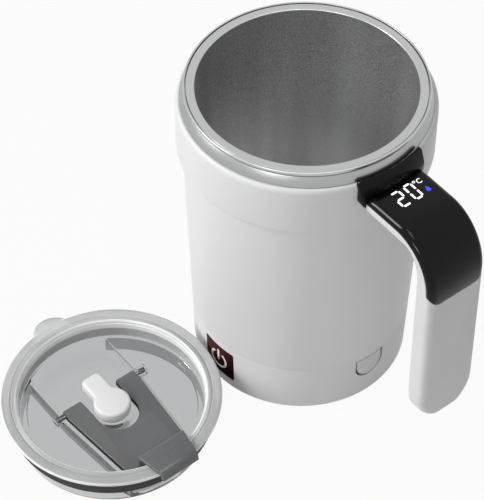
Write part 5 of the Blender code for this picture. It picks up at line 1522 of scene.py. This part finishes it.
class MUG_OT_lid(Operator):
    """Clear lid: flange, skirt, decks, channel, the stopper's collar and the lift tab"""

    bl_idname = "mug.lid"
    bl_label = "Clear lid"

    def execute(self, context):
        sizes = context.scene.mug_lid
        edge, under = sizes.edge, sizes.height - sizes.flange
        highlight_foot = under - HIGHLIGHT_DROP
        radius = sizes.well - WELL_GAP
        lid = held(turned(lid_profile(sizes, under, highlight_foot)))
        cut(lid, slab(channel_outline(sizes.channel, CHANNEL_FRONT, radius), LID_FLOOR,
                      sizes.height))
        for side in (-1, 1):
            cut(lid, slab(deck_outline(side, sizes.well, sizes.channel), -OVERRUN,
                          sizes.deck - HOLLOW_ROOF))
            join(lid, side_rod(BOSS[0], side, sizes.channel + FIT, sizes.channel + BOSS[1]))
            cut(lid, side_rod(PIN, side, *PIN_HOLES[1:3], 24))
        hole, collar, collar_top = COLLAR
        reach, round_end, thickness = TAB
        tab_top, tab_x = sizes.height - edge, round_end - reach
        tab = held(rod(round_end, (tab_x, 0, tab_top - thickness), (tab_x, 0, tab_top), 96,
                       TAB_EDGE))
        inside = sizes.mouth + edge
        cut(tab, turned([(0, LID_OVER), (inside, LID_OVER), (inside, 0), (0, 0)]))
        join(lid, turned(fillet([(hole, collar_top, EDGE), (collar, collar_top, EDGE),
                                 (collar, LID_FLOOR / 2), (hole, LID_FLOOR / 2)]), 96),
             released(tab))
        cut(lid, rod(STEM[1], (0, 0, -OVERRUN), (0, 0, LID_FLOOR + OVERRUN)),
            plate([pill(radius - SIP_INSET, *SIP, 12)], LID_FLOOR + OVERRUN))
        middle = lid_middle()

        # Finish 2 is painted highlight: the top of the recess wall and the flange's outer edge,
        # near white.
        def zone(face):
            reach = (face.center - middle).xy.length
            if sizes.well - edge < reach < sizes.mouth + edge:
                if face.center.z > highlight_foot:
                    return 2
                return int(face.center.z > sizes.deck + DECK_STEP[1] + FROST_START)
            if face.center.z < under - LEAST:
                return 0
            return 2 if abs(reach - sizes.radius) < edge / 2 else int(reach > sizes.mouth)

        settle_lid(lid, "lid", "lid", "clear_plastic", "lid_body", zone=zone,
                   finishes=("clear_plastic", "frosted_flange", "bright_flange"))
        return {"FINISHED"}


class MUG_OT_gasket(Operator):
    """Dark ribbed ring that seals the lid in the mug's mouth"""

    bl_idname = "mug.gasket"
    bl_label = "Gasket"

    def execute(self, context):
        sizes = context.scene.mug_lid
        under = sizes.height - sizes.flange
        top, bottom = under - FIT, under - sizes.gasket + FIT
        inside, outside = sizes.skirt - GROOVE + FIT, sizes.skirt + GROOVE
        pitch = (top - bottom) / 4
        corners = [(inside, top)]
        for level in (top - i * pitch for i in range(4)):
            corners += [(outside - RIB_BACK, level, CRISP_EDGE),
                        (outside, level - pitch / 2, EDGE)]
        corners += [(outside - RIB_BACK, bottom, CRISP_EDGE), (inside, bottom)]
        settle_lid(turned(fillet(corners, 4)), "gasket", "lid", "dark_rubber", "lid_gasket")
        return {"FINISHED"}


def lever_hook(sizes, riser, bottom):
    """The sheet that climbs from the lever, crosses the rim and hangs outside it."""
    half = HOOK_SHEET / 2
    over = sizes.height + FIT + half
    outside = sizes.radius + 2 * FIT + half
    points = [(riser + half, bottom + FIT),
              *arc(riser + half + RISER_BEND, over - RISER_BEND, RISER_BEND, 180, 90, 8),
              *arc(outside - HOOK_BEND, over - HOOK_BEND, HOOK_BEND, 90, 0, 14),
              (outside, sizes.height - sizes.hook_length)]
    points = [Vector((x, 0, z)) for x, z in points]
    start = riser + HOOK_SHEET
    sections = []
    for i, point in enumerate(points):
        ahead = points[min(i + 1, len(points) - 1)] - points[max(i - 1, 0)]
        side = Vector((0, 1, 0))
        up = side.cross(ahead).normalized()
        share = min(1.0, max(0.0, (point.x - start) / (outside - start)))
        width = HOOK_HALF[0] + (HOOK_HALF[1] - HOOK_HALF[0]) * share
        outline = fillet([(width, half, SHEET_EDGE), (-width, half, SHEET_EDGE),
                          (-width, -half, SHEET_EDGE), (width, -half, SHEET_EDGE)], 3)
        sections.append([point + side * u + up * v for u, v in outline])
    return lofted(sections)


class MUG_OT_lever(Operator):
    """Grey flip lever with its hook over the lid's rim, and the pad that shuts the sip hole"""

    bl_idname = "mug.lever"
    bl_label = "Flip lever and pad"

    def execute(self, context):
        sizes = context.scene.mug_lid
        bottom = sizes.lever_top - sizes.lever
        back, front = sizes.channel - LEVER_GAP, CHANNEL_FRONT - LEVER_GAP
        radius = sizes.well - WELL_GAP
        riser = math.sqrt((radius - 2 * FIT) ** 2 - sizes.hook ** 2) - HOOK_SHEET
        slot, slot_end, lever_back = SLOT
        end, bend = riser + HOOK_SHEET / 2, riser - HOOK_SHEET
        corner, widening, back_corner = LEVER_CORNERS
        half_view = [(end, sizes.hook), (bend, front, corner), (CHANNEL_BEND, back, widening),
                     (lever_back, back, back_corner), (lever_back, slot, back_corner)]
        lever = held(slab(fillet([
            *half_view, *arc(slot_end - slot, 0, slot, 90, -90, 32),
            *((x, -y, *edge) for x, y, *edge in reversed(half_view))]),
            bottom, sizes.lever_top, SHEET_EDGE))
        join(lever, lever_hook(sizes, riser, bottom))
        for side in (-1, 1):
            join(lever, side_rod(LEVER_BOSS, side, slot + FIT, back - FIT))
            cut(lever, side_rod(PIN, side, PIN_HOLES[0], PIN_HOLES[3], 24))
        # Finish 1 is painted shade: the upright faces below the lever's top are near black, for
        # the shadow in the gap round the lever.
        settle_lid(lever, "lever", "lever", "lever_plastic", "flip_lever",
                   finishes=("lever_plastic", "lever_side"),
                   zone=lambda face: int(abs(face.normal.z) < 0.3
                                         and face.center.z < sizes.lever_top))
        pad = slab(pill(radius - SIP_INSET, SIP_PAD, SIP_PAD, 24), LID_FLOOR + FIT,
                   bottom - FIT, SOFT_EDGE)
        settle_lid(pad, "pad", "lever", "white_silicone", "sip_pad")
        return {"FINISHED"}


class MUG_OT_stopper(Operator):
    """White stopper: round head, pull tail and the stem in its hole"""

    bl_idname = "mug.stopper"
    bl_label = "Stopper"

    def execute(self, context):
        sizes = context.scene.mug_lid
        radius, bottom = sizes.stopper, COLLAR[2] + FIT
        tail, tail_end, corner = TAIL
        neck_out, neck_edge = TAIL_NECK
        neck = math.degrees(math.asin(tail / radius))
        neck_x = -radius * math.cos(math.radians(neck)) - neck_out
        stopper = held(slab(fillet([
            *arc(0, 0, radius, neck - 180 + 4, 180 - neck - 4, 48), (neck_x, tail, neck_edge),
            (tail_end, tail, corner), (tail_end, -tail, corner), (neck_x, -tail, neck_edge)]),
            bottom, high("centre_stopper").z, sizes.stopper_edge))
        join(stopper, rod(STEM[0], (0, 0, STEM_ENDS[0]), (0, 0, bottom + STEM_ENDS[1]), 64, EDGE))
        settle_lid(stopper, "stopper_head", "stopper", "white_silicone", "centre_stopper")
        return {"FINISHED"}


# Underside and inside

GROOVE_PITCH = 0.0045            # from one groove of the foot pad to the next
GROOVE_SIZE = (0.0012, 0.0004)   # their width and depth
GROOVES = (0.0030, 0.0060)       # from the pad's edge to the first, and the last one's radius


class MUG_OT_foot(Operator):
    """Ribbed rubber foot pad"""

    bl_idname = "mug.foot"
    bl_label = "Foot pad"

    def execute(self, context):
        high_pad = high("foot_pad")
        outside = high_pad.x
        profile = [(0, high_pad.z), (outside, high_pad.z), (outside, FINE_EDGE),
                   (outside - FINE_EDGE, 0.0)]
        width, depth = GROOVE_SIZE
        radius = outside - GROOVES[0]
        while radius > GROOVES[1]:
            profile += [(radius, 0.0), (radius - FINE_EDGE, depth),
                        (radius - width + FINE_EDGE, depth), (radius - width, 0.0)]
            radius -= GROOVE_PITCH
        settle(turned([*profile, (0, 0.0)]), "pad_underfoot", "mug", "dark_rubber", "foot_pad")
        return {"FINISHED"}


def node_slots(item):
    """The record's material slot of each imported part, by the part's name."""
    found = {}
    if isinstance(item, dict):
        if "node" in item and "material_slot" in item:
            found[item["node"]] = item["material_slot"]
        item = list(item.values())
    if isinstance(item, list):
        for value in item:
            found.update(node_slots(value))
    return found


class MUG_OT_inside(Operator):
    """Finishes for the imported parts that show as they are, and for all those inside"""

    bl_idname = "mug.inside"
    bl_label = "Inner parts"

    def execute(self, context):
        slots = node_slots(frame["record"])
        for name, node in frame["nodes"].items():
            if node.hide_render:
                continue
            kind = slots.get(name)
            if kind not in FINISHES:
                raise RuntimeError(f"{name} has no finish for {kind}")
            for slot in node.material_slots:
                slot.material = finish(kind)
            if not node.material_slots:
                node.data.materials.append(finish(kind))
        return {"FINISHED"}


# Stage

FLOOR = (3.0, -0.0005, -0.02)    # the floor's radius, top and underside
LAMPS = {                        # place, width and height
    "key": ((-1.05, -1.50, 1.16), 0.36, 1.40),
    "fill": ((0.64, -1.58, 1.00), 0.60, 0.60),
    "over": ((0.15, 0.12, 1.55), 0.50, 0.50),
}
LAMP_AIM = Vector((0.0, -0.02, 0.06))
LENS = 145.17                    # millimetres, on a film 36 mm wide
EYE = (0.3864, -0.3305, 0.6100)
LOOK = Vector((-0.5264, 0.4113, -0.7442))


def placed(data, place, look):
    """Puts a lamp or the camera at a place, looking along a direction."""
    stand = held(data, data.name)
    stand.location = place
    stand.rotation_euler = look.to_track_quat("-Z", "Y").to_euler()
    return stand


class MUG_OT_stage(Operator):
    """Pale floor, white surroundings, soft lamps and the camera"""

    bl_idname = "mug.stage"
    bl_label = "Floor, lamps and camera"

    def execute(self, context):
        studio = context.scene.mug_studio
        scene = context.scene
        scene.view_settings.view_transform = "Standard"
        width, top, under = FLOOR
        floor = held(turned([(0, top), (width, top), (width, under), (0, under)], 96), "floor")
        made = Finish("pale_floor", studio.floor, 0.9, Specular_IOR_Level=0.0)
        made.shade(made.noise(made.place(), 8.0, 3.0), 0.01)
        white = made.value(made.node("ShaderNodeEmission", None, {"Strength": 1.0}))
        lit = Value(made, made.shader.outputs[0])
        mixed = made.node("ShaderNodeMixShader", None,
                          {0: made.seen() * (1 - studio.shadow), 1: lit, 2: white})
        made.output("Material Output", made.value(mixed))
        floor.data.materials.append(made.made)
        floor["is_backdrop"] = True

        world = bpy.data.worlds.new("studio")
        scene.world = world
        world.use_nodes = True
        sky = Nodes(world.node_tree)
        back = sky.node("ShaderNodeBackground", None,
                        {"Color": (1, 1, 1, 1),
                         "Strength": studio.air + (1 - studio.air) * sky.seen()})
        sky.output("World Output", sky.value(back))

        for name, (place, width, height) in LAMPS.items():
            lamp = bpy.data.lights.new(f"{name}_lamp", "AREA")
            lamp.shape = "RECTANGLE"
            lamp.size = width
            lamp.size_y = height
            lamp.energy = getattr(studio, name)
            placed(lamp, place, LAMP_AIM - Vector(place))

        camera = bpy.data.cameras.new("camera")
        camera.lens = LENS
        camera.sensor_width = 36.0
        camera.clip_start = 0.01
        camera.clip_end = 50.0
        scene.camera = placed(camera, EYE, LOOK)
        return {"FINISHED"}


OPERATORS = (MUG_OT_walls, MUG_OT_mouth, MUG_OT_cup, MUG_OT_button, MUG_OT_port, MUG_OT_handle,
             MUG_OT_bracket, MUG_OT_display, MUG_OT_lid, MUG_OT_gasket, MUG_OT_lever,
             MUG_OT_stopper, MUG_OT_foot, MUG_OT_inside, MUG_OT_stage)


class MUG_PT_panel(Panel):
    """The mug's sizes, colours and pieces"""

    bl_idname = "MUG_PT_panel"
    bl_label = "Self-Stirring Mug"
    bl_space_type = "VIEW_3D"
    bl_region_type = "UI"
    bl_category = "Mug"

    def draw(self, context):
        layout = self.layout
        for operator in OPERATORS:
            layout.operator(operator.bl_idname)
        for group in GROUPS:
            box = layout.box()
            settings = getattr(context.scene, group)
            for name in settings.__annotations__:
                box.prop(settings, name)


GROUPS = {
    "mug_body": MugBody,
    "mug_controls": MugControls,
    "mug_handle": MugHandle,
    "mug_lid": MugLid,
    "mug_colours": MugColours,
    "mug_studio": MugStudio,
}
CLASSES = (*GROUPS.values(), *OPERATORS, MUG_PT_panel)


def register():
    """Makes the sizes, operators and panel known to Blender."""
    for kind in CLASSES:
        bpy.utils.register_class(kind)
    for name, kind in GROUPS.items():
        setattr(bpy.types.Scene, name, PointerProperty(type=kind))


def unregister():
    """Takes them away again."""
    for name in GROUPS:
        delattr(bpy.types.Scene, name)
    for kind in reversed(CLASSES):
        bpy.utils.unregister_class(kind)


def main():
    """Builds the whole mug."""
    register()
    for operator in OPERATORS:
        group, name = operator.bl_idname.split(".")
        getattr(getattr(bpy.ops, group), name)()
    boxes = {"cad": cad_box, "visual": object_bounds()}
    sizes = {name: [list(corner) for corner in box] for name, box in boxes.items()}


if __name__ == "__main__":
    main()
